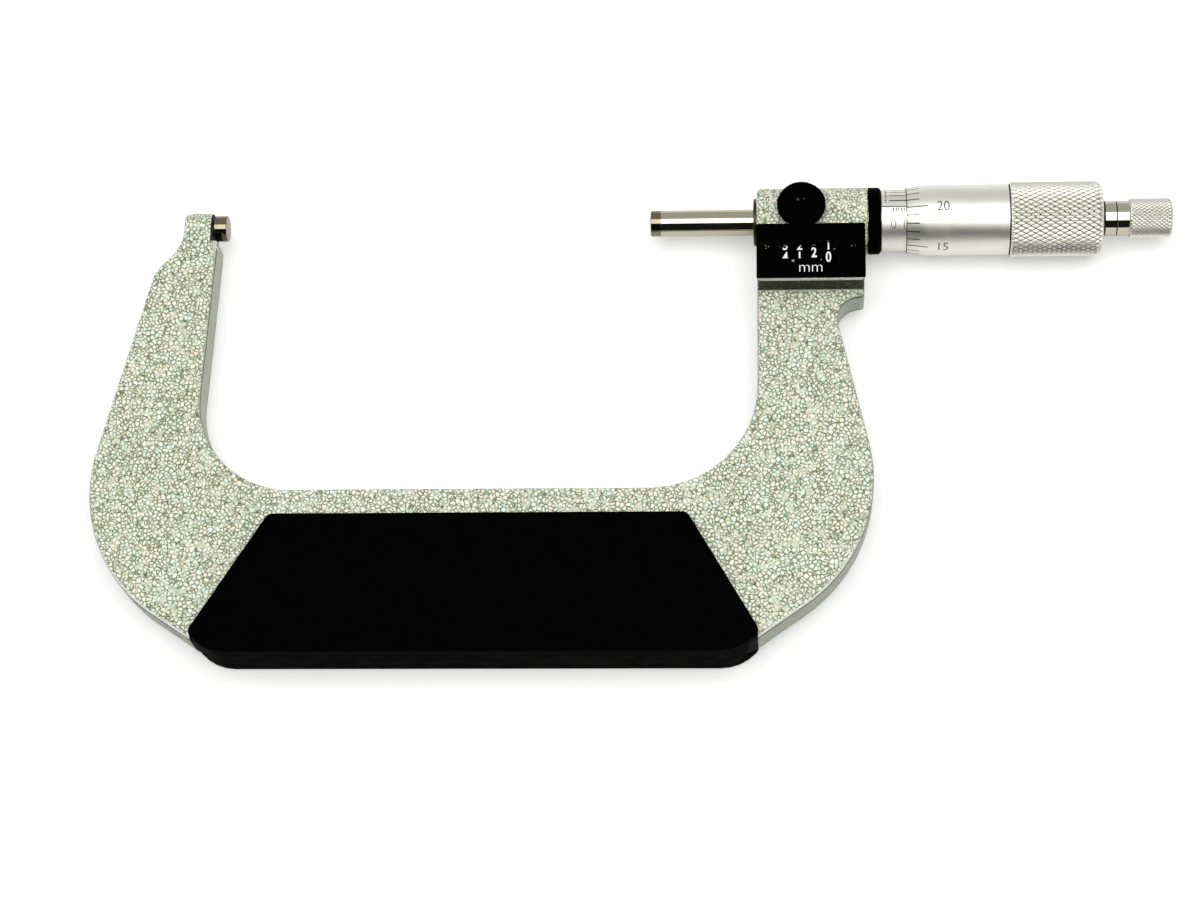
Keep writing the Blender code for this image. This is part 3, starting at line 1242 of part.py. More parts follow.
def main():
    clear_scene()
    hammertone = material("hammertone_paint", (0.55, 0.57, 0.50), 0.45, 0.0)
    black = material("black_plastic", (0.02, 0.02, 0.022), 0.5, 0.0)
    black_metal = material("black_metal", (0.015, 0.015, 0.017), 0.4, 0.3)
    steel = material("ground_steel", (0.62, 0.61, 0.58), 0.25, 1.0)
    chrome = material("satin_chrome", (0.75, 0.75, 0.74), 0.35, 1.0)
    carbide = material("carbide", (0.16, 0.15, 0.14), 0.3, 0.9)
    brass = material("brass", (0.66, 0.50, 0.24), 0.35, 1.0)
    digits = material("digit_wheel_plastic", (0.02, 0.02, 0.02), 0.6, 0.0)

    spindle_axis = axis_empty("measuring_axis", 0, 0, 0)
    knob_axis = axis_empty("ratchet_axis", 0, 0, 0, spindle_axis)
    wheel_axis = axis_empty("wheel_axis", 0, WHEEL_AXIS_Y, WHEEL_AXIS_Z)
    idler = idler_centre()
    idler_axis = axis_empty("idler_axis", 0, idler.x, idler.y)
    pinion = pinion_centre()
    pinion_axis = axis_empty("pinion_axis", 0, pinion.x, pinion.y)
    lock_axis = axis_empty("lock_axis", LOCK_X, 0, 0)

    make_frame(hammertone)
    make_anvil(steel, carbide)
    make_grips(black)
    make_sleeves(steel, black_metal, chrome, brass)
    make_spindle(spindle_axis, steel, carbide)
    make_thimble(spindle_axis, chrome)
    make_ratchet(spindle_axis, knob_axis, steel, chrome)
    make_lock(lock_axis, lock_axis, black_metal, steel, brass)
    idler_start = make_drive(spindle_axis, idler_axis, steel, brass)
    make_counter(wheel_axis, pinion_axis, idler_start, digits, brass, steel)
    make_bracket(steel)
    make_cover(black_metal)
    smooth_round_faces()


main()
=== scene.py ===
import json
import math

import bmesh
import bpy
from mathutils import Matrix, Vector


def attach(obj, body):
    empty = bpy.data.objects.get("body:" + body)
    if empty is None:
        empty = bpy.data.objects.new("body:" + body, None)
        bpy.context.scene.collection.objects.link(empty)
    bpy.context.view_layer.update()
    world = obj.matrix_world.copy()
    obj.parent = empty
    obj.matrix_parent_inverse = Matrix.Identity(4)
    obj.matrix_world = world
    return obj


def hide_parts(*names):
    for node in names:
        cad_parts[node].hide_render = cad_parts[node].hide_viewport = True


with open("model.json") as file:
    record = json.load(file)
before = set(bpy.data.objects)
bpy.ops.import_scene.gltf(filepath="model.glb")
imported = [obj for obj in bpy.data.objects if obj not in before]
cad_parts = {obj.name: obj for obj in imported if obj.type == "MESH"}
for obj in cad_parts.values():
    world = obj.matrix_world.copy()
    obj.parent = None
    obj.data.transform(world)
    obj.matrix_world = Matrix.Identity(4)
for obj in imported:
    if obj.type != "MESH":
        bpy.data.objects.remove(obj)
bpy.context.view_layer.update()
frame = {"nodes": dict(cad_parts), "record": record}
nodes = frame["nodes"]
record = frame["record"]
MM = 0.001

# Sizes in millimetres, most of them the CAD's own
THROAT_RIGHT = 130.7
THROAT_DEPTH = 69.6
HALF_FRAME = 5.0
BOW_BOTTOM = 108.3
ARM_SEAT = -3.15
ARM_LEFT = -10.1
ARM_TOP = 3.4
ARM_ROUND = 4.0
ARM_CORNER = 2.0
BOSS_RADIUS = 8.15
BOSS_LEFT = 130.5
BOSS_RIGHT = 157.5
HOUSING_RIGHT = 156.4
HOUSING_HEIGHT = 11.65
HOUSING_TOP = 6.12
HOUSING_BOTTOM = 20.0
COVER_FRONT = 12.35
SLEEVE_LEFT = 160.7
SLEEVE_RIGHT = 193.4
SLEEVE_RADIUS = 7.5
SLEEVE_BORE = 6.2
THIMBLE_EDGE = 166.698
THIMBLE_EDGE_RADIUS = 7.85
THIMBLE_BEVEL = 4.6
THIMBLE_END = 213.9
THIMBLE_RADIUS = 8.6
GRIP_START = 191.85
GRIP_RADIUS = 9.05
WHEEL_AXIS = (-12.7, 6.0)
WHEEL_RADIUS = 5.0
WHEEL_PLACES = (137.45, 140.9, 144.35, 147.8)
SCREW_LEFT = 133.2
SCREW_RIGHT = 153.9
SCREW_HEIGHT = -11.8
SCREW_TOP = 12.405
STEM_RADIUS = 4.22
LOCK_X = 141.4
LOCK_HOLE = 1.6
ANVIL_HOLE = 2.35

# Places along the measuring line of the graduations, in millimetres
LINE_HALF = 0.125
ZERO_X = 163.6
TICK_PITCH = 0.635
TICKS = 41
VERNIER_X = 162.6
SHORT_LINE_END = 169.84
LONG_LINE_END = 171.82
NUMBER_X = 175.54
THIMBLE_LINES = 25

# Their angles, from the top of the sleeve towards the measuring line's far side
DATUM = math.radians(3.94)
THIMBLE_TWENTY = math.radians(0.36)
TICK_START = math.radians(1.2)
TICK_END = math.radians(-6.8)
LABEL_TURN = math.radians(-29.65)
VERNIER_STEP = math.radians(12.96)

# Places where the frame's paint changes, in millimetres, each as a middle and half the width of the change
BOSS_PAINT = (-7.0, 0.5)
LOW_BOW = (-55.0, 5.0)
SEAT_LEFT = (-3.5, 0.1)
SEAT_RIGHT = (50.5, 0.5)
SEAT_LOW = (-5.3, 0.3)
TIPS_LEFT = (-2.2, 0.1)
TIPS_RIGHT = (THROAT_RIGHT, 0.1)
TIPS_TOP = (-104.7, 0.1)
HOUSING_FOOT = (6.1, 0.3)
LIP_FRONT = (10.8, 0.2)
LIP_TOP = (-19.55, 0.05)

# Grain of the enamel: cushions to a metre, and how far the noise pushes them, in metres
CELLS = 1050.0
CELL_DRIFT = 0.0007

# Colours by tone or by noise; the cushions' darkest tones, in their seams, are partly the enamel's own veins
# and partly painted shade
CUSHION_TONES = [
    (0.0, (0.06, 0.08, 0.03)),
    (0.22, (0.32, 0.36, 0.24)),
    (0.45, (0.80, 0.82, 0.65)),
    (0.7, (1.0, 1.0, 0.94)),
]
CUSHION_TINTS = [
    (0.15, (1.0, 0.94, 0.92)),
    (0.35, (1.0, 1.0, 0.92)),
    (0.6, (1.0, 1.0, 1.0)),
    (0.85, (0.88, 0.98, 0.96)),
]
WALL_TONES = [(0.3, (0.43, 0.46, 0.365)), (0.7, (0.52, 0.55, 0.44))]
# Painted shade of the housing's underside, speckled
UNDERSIDE_SHADE_TONES = [(0.47, (0.0, 0.0, 0.0)), (0.58, (0.018, 0.03, 0.001)), (0.72, (0.11, 0.11, 0.02))]

# Points along one pitch of a knurl, and bands that a letter is cut into
KNURL_STEPS = 8
LETTER_BANDS = 10

# The photograph's lens and where it stood: pixels, radians and millimetres
PICTURE_WIDTH = 1200.0
FOCAL_LENGTH = 2920.1
YAW, PITCH, ROLL = 0.0715, 0.338, 0.0169
CAMERA_PLACE = (140.019, -289.817, 655.872)
SENSOR_WIDTH = 36.0

# Floor and lamps, in metres
FLOOR_REACH = 3.0
FLOOR_GAP = 0.00002
LAMP_HEIGHT = 1.25


# Nodes of a material
class Tree:
    """Short names for building a node tree."""

    def __init__(self, tree):
        self.tree = tree
        tree.nodes.clear()

    def add(self, kind, settings=None, **inputs):
        made = self.tree.nodes.new(kind)
        for key, value in (settings or {}).items():
            setattr(made, key, value)
        for key, value in inputs.items():
            self.feed(made, key.replace("_", " "), value)
        return made

    def feed(self, node, key, value):
        socket = node.inputs[int(key)] if key.isdigit() else node.inputs[key]
        if isinstance(value, bpy.types.NodeSocket):
            self.tree.links.new(value, socket)
        else:
            socket.default_value = value

    def math(self, operation, a, b=0.0, c=None):
        made = self.add("ShaderNodeMath", {"operation": operation})
        self.feed(made, "0", a)
        self.feed(made, "1", b)
        if c is not None:
            self.feed(made, "2", c)
        return made.outputs[0]

    def product(self, *values):
        total = values[0]
        for value in values[1:]:
            total = self.math("MULTIPLY", total, value)
        return total

    def span(self, value, low, high, to_low=0.0, to_high=1.0):
        made = self.add("ShaderNodeMapRange", {"interpolation_type": "SMOOTHSTEP"}, Value=value)
        for key, item in (("From Min", low), ("From Max", high), ("To Min", to_low), ("To Max", to_high)):
            self.feed(made, key, item)
        return made.outputs[0]

    def fall(self, value, low, high):
        """1 below low, 0 above high."""
        return self.span(value, low, high, 1.0, 0.0)

    def past(self, value, place):
        """1 past a place in millimetres, 0 before it."""
        middle, half = place
        return self.span(value, (middle - half) * MM, (middle + half) * MM)

    def before(self, value, place):
        """1 before a place in millimetres, 0 past it."""
        middle, half = place
        return self.fall(value, (middle - half) * MM, (middle + half) * MM)

    def ramp(self, value, stops):
        made = self.add("ShaderNodeValToRGB", Fac=value)
        marks = made.color_ramp.elements
        while len(marks) < len(stops):
            marks.new(0.5)
        for mark, (place, colour) in zip(marks, stops):
            mark.position = place
            mark.color = (*colour, 1.0)
        return made.outputs[0]

    def place(self, scale=(1, 1, 1)):
        coordinates = self.add("ShaderNodeTexCoord").outputs["Object"]
        made = self.add("ShaderNodeMapping", Vector=coordinates)
        made.inputs["Scale"].default_value = scale
        return made.outputs[0]

    def axes(self, vector):
        return self.add("ShaderNodeSeparateXYZ", Vector=vector).outputs

    def noise(self, vector, scale, detail=2.0, roughness=0.5):
        made = self.add("ShaderNodeTexNoise", Vector=vector, Scale=scale, Detail=detail)
        self.feed(made, "Roughness", roughness)
        return made.outputs["Fac"]

    def blend(self, kind, share, first, second):
        made = self.add("ShaderNodeMixRGB", {"blend_type": kind}, Fac=share, Color1=first, Color2=second)
        return made.outputs[0]

    def bump(self, height, distance, strength=1.0):
        made = self.add("ShaderNodeBump", Height=height, Distance=distance, Strength=strength)
        return made.outputs[0]

    def surface(self, shader):
        made = self.add("ShaderNodeOutputMaterial")
        self.tree.links.new(shader, made.inputs["Surface"])


# Paints and metals
def new_material(name, colour, roughness, metallic=0.0, **sockets):
    made = bpy.data.materials.new(name)
    made.use_nodes = True
    made.diffuse_color = (*colour, 1.0)
    tree = Tree(made.node_tree)
    shader = tree.add("ShaderNodeBsdfPrincipled")
    shader.inputs["Base Color"].default_value = (*colour, 1.0)
    shader.inputs["Roughness"].default_value = roughness
    shader.inputs["Metallic"].default_value = metallic
    for key, value in sockets.items():
        shader.inputs[key.replace("_", " ")].default_value = value
    tree.surface(shader.outputs[0])
    return made, tree, shader


def cushions(tree, place):
    """Rise, grain, tone and hue of the small cushions that the enamel shrinks into. The tone darkens the
    seams, partly as the enamel's own veins and partly as painted shade, and lightens the middles of small
    cells as a painted highlight.
    """
    drift = tree.add("ShaderNodeTexNoise", Vector=place, Scale=650.0, Detail=1.0)
    moved = tree.add("ShaderNodeVectorMath", {"operation": "MULTIPLY_ADD"})
    tree.feed(moved, "0", drift.outputs["Color"])
    moved.inputs[1].default_value = (CELL_DRIFT, CELL_DRIFT, CELL_DRIFT)
    tree.feed(moved, "2", place)
    warped = moved.outputs[0]
    cells = tree.add("ShaderNodeTexVoronoi", {"feature": "DISTANCE_TO_EDGE"}, Vector=warped, Scale=CELLS)
    shades = tree.add("ShaderNodeTexVoronoi", Vector=warped, Scale=CELLS)
    small = tree.add("ShaderNodeTexVoronoi", {"feature": "SMOOTH_F1"}, Vector=warped, Scale=2.0 * CELLS)
    near = tree.math("MINIMUM", tree.math("MULTIPLY", cells.outputs["Distance"], 2.9), 1.0)
    rise = tree.math("POWER", near, 0.7)
    partial = tree.span(tree.noise(place, 700.0, 2.0, 0.6), 0.45, 0.62, 0.0, 0.55)
    grain = tree.fall(small.outputs["Distance"], 0.1, 0.7)
    # Painted highlight: the middles of the small cells come out lighter in the tone
    lit = tree.math("MULTIPLY_ADD", grain, 0.4, 0.6)
    tone = tree.math("MULTIPLY", tree.math("MAXIMUM", rise, partial), lit)
    hue = tree.axes(shades.outputs["Color"])["X"]
    return rise, grain, tone, hue


def enamel_layers(tree, place, facing, level, on_boss, shaded_tips):
    """Mask and colour of each layer that lies on the enamel, the lowest first."""
    at = tree.axes(place)
    off_boss = tree.math("SUBTRACT", 1.0, on_boss)
    low = tree.product(tree.fall(facing["Y"], -0.45, -0.15), tree.before(at["Y"], LOW_BOW))
    # Painted highlight: a pale rim on the slanting edges of the lower bow that face the near side
    edge = tree.product(tree.span(level, 0.42, 0.52), tree.fall(level, 0.86, 0.93))
    # Painted shade: a dark line where the rounded edges turn into the upright walls, off the boss
    crease_shade = tree.product(tree.span(level, 0.03, 0.08), tree.fall(level, 0.24, 0.34))
    # Painted shadow: black on the arm's seat round the anvil's root
    seat_shadow = tree.product(
        tree.past(at["X"], SEAT_LEFT),
        tree.past(at["Y"], SEAT_LOW),
        tree.before(at["X"], SEAT_RIGHT),
    )
    # Painted shade: the housing's underside, which faces the near side, is dark with speckles
    below = tree.product(tree.past(at["Z"], HOUSING_FOOT), tree.fall(facing["Y"], -0.75, -0.6))
    underside_shade = tree.ramp(tree.noise(place, 1900.0, 3.0), UNDERSIDE_SHADE_TONES)
    # Painted highlight: a pale strip along the front of the housing's lower edge
    lit_lip = tree.product(tree.past(at["Z"], LIP_FRONT), tree.before(at["Y"], LIP_TOP), 0.8)
    return (
        (tree.product(edge, low), (1.0, 1.0, 0.95, 1.0)),
        (tree.product(crease_shade, off_boss), (0.10, 0.11, 0.05, 1.0)),
        (seat_shadow, (0.006, 0.006, 0.004, 1.0)),
        (shaded_tips, (0.002, 0.002, 0.002, 1.0)),
        (below, underside_shade),
        (lit_lip, (1.0, 1.0, 0.93, 1.0)),
    )


def hammertone():
    """Enamel with cushions on its faces, smooth side walls, and black as painted shade on the wall between
    the ends of the grips.
    """
    made, tree, shader = new_material("hammertone_enamel", (0.66, 0.69, 0.55), 0.36, Specular_IOR_Level=0.25)
    place = tree.place()
    at = tree.axes(place)
    facing = tree.axes(tree.add("ShaderNodeTexCoord").outputs["Normal"])
    level = tree.math("ABSOLUTE", facing["Z"])
    rise, grain, tone, hue = cushions(tree, place)
    faces = tree.blend("MULTIPLY", 1.0, tree.ramp(tone, CUSHION_TONES), tree.ramp(hue, CUSHION_TINTS))
    wall = tree.ramp(tree.noise(place, 420.0, 3.0), WALL_TONES)
    on_boss = tree.past(at["Y"], BOSS_PAINT)
    shown = tree.math("MAXIMUM", tree.span(level, 0.3, 0.7), on_boss)
    # Painted shade: the wall between the ends of the grips is black and rough
    shaded_tips = tree.product(
        tree.past(at["X"], TIPS_LEFT),
        tree.before(at["X"], TIPS_RIGHT),
        tree.before(at["Y"], TIPS_TOP),
    )
    coat = tree.blend("MIX", shown, wall, faces)
    for mask, colour in enamel_layers(tree, place, facing, level, on_boss, shaded_tips):
        coat = tree.blend("MIX", mask, coat, colour)
    tree.feed(shader, "Base Color", coat)
    height = tree.product(tree.math("MULTIPLY_ADD", grain, 0.25, rise), shown)
    tree.feed(shader, "Normal", tree.bump(height, 0.00022))
    bare = tree.span(tone, 0.0, 1.0, 0.6, 0.3)
    tree.feed(shader, "Roughness", tree.math("MAXIMUM", bare, shaded_tips))
    return made


def matte_black(name, colour, roughness, grain_scale, grain_depth):
    """Black that mirrors very little, with a fine grain and uneven sheen."""
    made, tree, shader = new_material(name, colour, roughness, Specular_IOR_Level=0.003)
    place = tree.place()
    wide = tree.noise(place, 260.0, 3.0)
    tree.feed(shader, "Roughness", tree.span(wide, 0.3, 0.7, roughness - 0.06, roughness + 0.08))
    tree.feed(shader, "Normal", tree.bump(tree.noise(place, grain_scale, 3.0, 0.6), grain_depth, 0.4))
    speck = tree.noise(place, 5200.0, 1.0)
    pale = tuple(c * 3.0 + 0.002 for c in colour)
    tree.feed(shader, "Base Color", tree.ramp(speck, [(0.62, colour), (0.8, pale)]))
    return made


def turned_metal(name, colour, roughness, lines, depth):
    """Metal with fine rings left by turning or grinding, across the measuring line."""
    made, tree, shader = new_material(name, colour, roughness, 1.0)
    rings = tree.noise(tree.place((lines, 12.0, 12.0)), 1.0, 3.0, 0.7)
    wide = tree.noise(tree.place(), 150.0, 2.0)
    tree.feed(shader, "Roughness", tree.span(wide, 0.3, 0.7, roughness - 0.03, roughness + 0.03))
    tree.feed(shader, "Normal", tree.bump(rings, depth, 0.5))
    darker = tuple(c * 0.95 for c in colour)
    tree.feed(shader, "Base Color", tree.ramp(rings, [(0.3, darker), (0.6, colour)]))
    return made


def ink(name, colour):
    """Paint of digits and graduations, of painted shade lines and of small painted glints, a little uneven.
    """
    made, tree, shader = new_material(name, colour, 0.55, Specular_IOR_Level=0.2)
    pale = tuple(min(1.0, c * 1.12 + 0.01) for c in colour)
    spread = tree.noise(tree.place(), 2200.0, 2.0)
    tree.feed(shader, "Base Color", tree.ramp(spread, [(0.35, colour), (0.65, pale)]))
    return made


# One paint for each material slot of the record
paints = {
    "hammertone_paint": hammertone(),
    "black_plastic": matte_black("grip_plastic", (0.0010, 0.0010, 0.0011), 0.5, 2600.0, 0.00005),
    "black_metal": matte_black("black_oxide", (0.0009, 0.0009, 0.0010), 0.42, 3200.0, 0.00002),
    "ground_steel": turned_metal("ground_steel_fine", (0.58, 0.56, 0.41), 0.07, 9000.0, 0.0000012),
    "satin_chrome": turned_metal("satin_chrome_fine", (0.94, 0.94, 0.86), 0.42, 7000.0, 0.000012),
    "carbide": turned_metal("carbide_lapped", (0.24, 0.215, 0.15), 0.06, 6000.0, 0.000001),
    # Painted shade: the brass of the gears behind the window is painted nearly black
    "brass": turned_metal("brass_in_painted_shade", (0.03, 0.024, 0.012), 0.5, 5000.0, 0.00001),
    "digit_wheel_plastic": matte_black("wheel_black", (0.001, 0.001, 0.001), 0.6, 4000.0, 0.00002),
}

# Paints of places that have a look of their own
bright_chrome = turned_metal("bright_chrome", (0.62, 0.61, 0.48), 0.08, 8000.0, 0.0000015)
# The front bush is nearly black steel
dark_steel = turned_metal("dark_bush_steel", (0.05, 0.045, 0.03), 0.3, 6000.0, 0.000004)
white_ink = ink("white_ink", (0.90, 0.90, 0.89))
# Black print, also used as painted shade in the gaps at the thimble's edge, the stem and the ratchet cap
black_ink_and_shade = ink("black_ink_and_shade", (0.005, 0.005, 0.004))
grey_ink = ink("grey_ink", (0.11, 0.11, 0.09))
# Grey-blue print of the decimal point, also used for painted glints on a cover screw
dull_ink_and_glint = ink("dull_ink_and_glint", (0.20, 0.27, 0.29))
# Painted glints, reddish, on a cover screw
red_glint_paint = ink("painted_copper_glint", (0.50, 0.25, 0.18))
# Painted glints, dim grey, on the lock knob
faint_glint_paint = ink("painted_grey_glint", (0.08, 0.08, 0.075))
# Painted shade: darker metal for the faces deep in the knurls' grooves
knurl_groove_shade = turned_metal("knurl_groove_shade", (0.21, 0.22, 0.13), 0.5, 7000.0, 0.00001)


# Pieces
def piece_from(name, vertices, faces, paint, body, stands_for=(), sharp=30.0):
    """A piece of vertices in millimetres."""
    mesh = bpy.data.meshes.new(name)
    mesh.from_pydata([tuple(c * MM for c in v) for v in vertices], [], faces)
    finish_piece(name, mesh, paint, body, stands_for, sharp)


def finish_piece(name, mesh, paint, body, stands_for=(), sharp=30.0):
    """paint is a material, or some materials and the rule that picks one of them by (x, radius)."""
    shape = bmesh.new()
    shape.from_mesh(mesh)
    bmesh.ops.recalc_face_normals(shape, faces=shape.faces)
    shape.to_mesh(mesh)
    shape.free()
    mesh.shade_smooth()
    mesh.set_sharp_from_angle(angle=math.radians(sharp))
    mesh.materials.clear()
    coats, pick = paint if isinstance(paint, tuple) else ((paint,), None)
    for coat in coats:
        mesh.materials.append(coat)
    if pick:
        for face in mesh.polygons:
            x, y, z = face.center / MM
            face.material_index = pick(x, math.hypot(y, z))
    piece = bpy.data.objects.new(name, mesh)
    bpy.context.scene.collection.objects.link(piece)
    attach(piece, body)
    if stands_for:
        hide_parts(*stands_for)


def turned(profile, steps, relief=None):
    """Vertices and faces of a closed profile of (x, radius) points turned about the measuring line."""
    vertices = []
    rings = []
    for x, radius in profile:
        if radius <= 0:
            rings.append([len(vertices)] * steps)
            vertices.append((x, 0, 0))
            continue
        ring = []
        for k in range(steps):
            angle = 2 * math.pi * k / steps
            r = radius + (relief(x, k) if relief else 0)
            ring.append(len(vertices))
            vertices.append((x, -r * math.sin(angle), r * math.cos(angle)))
        rings.append(ring)
    faces = []
    for number, (a, b) in enumerate(zip(rings, rings[1:] + rings[:1])):
        for k in range(steps):
            after = (k + 1) % steps
            corners = (a[k], b[k], b[after], a[after])
            if relief and len(set(corners)) == 4:
                turn = (k - number) % 2
                corners = corners[turn:] + corners[:turn]
                faces += [corners[:3], (corners[0], corners[2], corners[3])]
            else:
                faces.append(tuple(dict.fromkeys(corners)))
    return vertices, [face for face in faces if len(face) > 2]


def knurled(before, after, radius_at, start, end, count, pitch, depth):
    """A turned shape with a diamond knurl from start to end; its edges follow the grooves."""
    rows = round((end - start) / pitch * KNURL_STEPS)
    step = (end - start) / rows
    middle = [(start + step * k, radius_at(start + step * k)) for k in range(rows + 1)]
    offset = len(before)

    def relief(x, k):
        if x < start - step / 2 or x > end + step / 2:
            return 0.0
        row = round((x - start) / step) + offset
        a = abs(2 * ((k + row) / KNURL_STEPS % 1.0) - 1)
        b = abs(2 * ((k - row) / KNURL_STEPS % 1.0) - 1)
        fade = min(1.0, (x - start) / (2 * step) + 0.4, (end - x) / (2 * step) + 0.4)
        return -depth * max(0.0, (max(a, b) - 0.4) / 0.6) * fade

    return turned(before + middle + after, count * KNURL_STEPS, relief)


class Marks:
    """Thin painted shapes that lie on a round surface."""

    def __init__(self, radius, middle=(0.0, 0.0), lift=0.015):
        self.radius = radius if callable(radius) else lambda x: radius
        self.middle = middle
        self.lift = lift
        self.vertices = []
        self.faces = []

    def wrap(self, x, turn):
        radius = self.radius(x) + self.lift
        y, z = self.middle
        return (x, y + radius * math.sin(turn), z + radius * math.cos(turn))

    def strip(self, x0, x1, turn0, turn1, parts_x=1, parts_turn=1):
        start = len(self.vertices)
        for i in range(parts_x + 1):
            for j in range(parts_turn + 1):
                x = x0 + (x1 - x0) * i / parts_x
                self.vertices.append(self.wrap(x, turn0 + (turn1 - turn0) * j / parts_turn))
        wide = parts_turn + 1
        for i in range(parts_x):
            for j in range(parts_turn):
                a = start + i * wide + j
                self.faces.append((a, a + 1, a + wide + 1, a + wide))

    def text(self, word, x, turn, height, wide, weight=0.0):
        radius = self.radius(x)
        start = len(self.vertices)
        flat, faces = letters(word, height, wide, weight)
        for across, up in flat:
            self.vertices.append(self.wrap(x + across, turn + up / radius))
        self.faces += [tuple(start + k for k in face) for face in faces]


known_letters = {}


def letters(word, height, wide, weight):
    """Flat faces of a word, centred, cut into thin bands so that they can follow a curve."""
    key = (word, round(height, 4), wide, weight)
    if key in known_letters:
        return known_letters[key]
    curve = bpy.data.curves.new("letters", "FONT")
    curve.body = word
    curve.size = 1.0
    curve.offset = weight
    curve.resolution_u = 4
    guide = bpy.data.objects.new("letters", curve)
    bpy.context.scene.collection.objects.link(guide)
    mesh = bpy.data.meshes.new_from_object(guide.evaluated_get(bpy.context.evaluated_depsgraph_get()))
    bpy.data.objects.remove(guide)
    shape = bmesh.new()
    shape.from_mesh(mesh)
    bmesh.ops.remove_doubles(shape, verts=shape.verts, dist=1e-5)
    low = min(v.co.y for v in shape.verts)
    high = max(v.co.y for v in shape.verts)
    left = min(v.co.x for v in shape.verts)
    right = max(v.co.x for v in shape.verts)
    scale = height / (high - low)
    for k in range(1, LETTER_BANDS):
        level = low + (high - low) * k / LETTER_BANDS
        parts = shape.verts[:] + shape.edges[:] + shape.faces[:]
        bmesh.ops.bisect_plane(shape, geom=parts, plane_co=(0, level, 0), plane_no=(0, 1, 0))
    shape.verts.index_update()
    middle_x = (left + right) / 2
    middle_y = (low + high) / 2
    flat = [((v.co.x - middle_x) * scale * wide, (v.co.y - middle_y) * scale) for v in shape.verts]
    faces = [tuple(v.index for v in face.verts) for face in shape.faces]
    shape.free()
    known_letters[key] = (flat, faces)
    return flat, faces


def rounded(corners, step=math.radians(3)):
    """Points of an outline whose corners (x, y, radius) are rounded."""
    points = []
    for index, (x, y, radius) in enumerate(corners):
        corner = Vector((x, y))
        before = Vector(corners[index - 1][:2])
        after = Vector(corners[(index + 1) % len(corners)][:2])
        back = (before - corner).normalized()
        ahead = (after - corner).normalized()
        if radius <= 0:
            points.append(corner)
            continue
        half = back.angle(ahead) / 2
        reach = radius / math.tan(half)
        centre = corner + (back + ahead).normalized() * radius / math.sin(half)
        start = corner + back * reach - centre
        sweep = (corner + ahead * reach - centre).angle_signed(start)
        count = max(2, math.ceil(abs(sweep) / step))
        for k in range(count + 1):
            turn = sweep * k / count
            cos, sin = math.cos(turn), math.sin(turn)
            points.append(centre + Vector((start.x * cos - start.y * sin, start.x * sin + start.y * cos)))
    return points


# Solids that are cut and joined before they are remeshed
def prism(outline, low, high, axes="xyz"):
    """A closed solid of an outline, from low to high along the third of the axes."""
    order = ["xyz".index(a) for a in axes]
    vertices = []
    for level in (low, high):
        for a, b in outline:
            point = [0.0, 0.0, 0.0]
            point[order[0]], point[order[1]], point[order[2]] = a, b, level
            vertices.append(tuple(c * MM for c in point))
    count = len(outline)
    faces = [tuple(range(count)), tuple(range(count, 2 * count))]
    faces += [(k, (k + 1) % count, count + (k + 1) % count, count + k) for k in range(count)]
    mesh = bpy.data.meshes.new("solid")
    mesh.from_pydata(vertices, [], faces)
    return tidy(mesh)


def rod(low, high, radius):
    return [(low, 0), (low, radius), (high, radius), (high, 0)]


def round_solid(profile, steps, axis="x", at=(0, 0, 0)):
    """A closed turned solid along the x or the z axis."""
    vertices, faces = turned(profile, steps)
    if axis == "z":
        vertices = [(-z, y, x) for x, y, z in vertices]
    mesh = bpy.data.meshes.new("round")
    mesh.from_pydata([tuple((c + a) * MM for c, a in zip(v, at)) for v in vertices], [], faces)
    return tidy(mesh)


def tidy(mesh):
    """The mesh with double points merged and all faces turned outwards."""
    shape = bmesh.new()
    shape.from_mesh(mesh)
    bmesh.ops.remove_doubles(shape, verts=shape.verts, dist=1e-8)
    bmesh.ops.recalc_face_normals(shape, faces=shape.faces)
    shape.to_mesh(mesh)
    shape.free()
    return mesh


def combined(base, steps, voxel, smooth):
    """The base mesh after (operation, mesh) steps, then remeshed in voxels and smoothed."""
    guide = bpy.data.objects.new("guide", base)
    bpy.context.scene.collection.objects.link(guide)
    tools = []
    for operation, mesh in steps:
        tool = bpy.data.objects.new("tool", mesh)
        bpy.context.scene.collection.objects.link(tool)
        tools.append(tool)
        step = guide.modifiers.new("step", "BOOLEAN")
        step.operation = operation
        step.object = tool
        step.solver = "EXACT"
    step = guide.modifiers.new("remesh", "REMESH")
    step.mode = "VOXEL"
    step.voxel_size = voxel * MM
    step = guide.modifiers.new("smooth", "SMOOTH")
    step.factor = 0.5
    step.iterations = smooth
    view = bpy.context.evaluated_depsgraph_get()
    mesh = bpy.data.meshes.new_from_object(guide.evaluated_get(view))
    for item in tools + [guide]:
        bpy.data.objects.remove(item)
    return mesh


# Frame
def frame_outline():
    """The casting seen from the front, as corners (x, y, radius)."""
    return rounded(
        [
            (ARM_SEAT, 5.4, 0),
            (ARM_SEAT, -3.475, 0),
            (ARM_SEAT + 1.5, -5.075, 0.5),
            (ARM_SEAT - 1.3, -THROAT_DEPTH, 22.85),
            (THROAT_RIGHT, -THROAT_DEPTH, 25.6),
            (THROAT_RIGHT, -2.0, 0),
            (HOUSING_RIGHT, -2.0, 0),
            (HOUSING_RIGHT, -HOUSING_BOTTOM - 1.7, 0.8),
            (THROAT_RIGHT + 17.75, -HOUSING_BOTTOM - 1.7, 5.5),
            (THROAT_RIGHT + 32.1, -BOW_BOTTOM + 24.65, 38.8),
            (THROAT_RIGHT - 2.4, -BOW_BOTTOM, 8.0),
            (ARM_SEAT + 3.35, -BOW_BOTTOM, 8.0),
            (ARM_SEAT - 30.85, -BOW_BOTTOM + 22.65, 38.5),
            (ARM_LEFT - 6.6, -13.25, 7.1),
            (ARM_LEFT, -6.0, 11.0),
            (ARM_LEFT, 5.4, 0),
        ]
    )


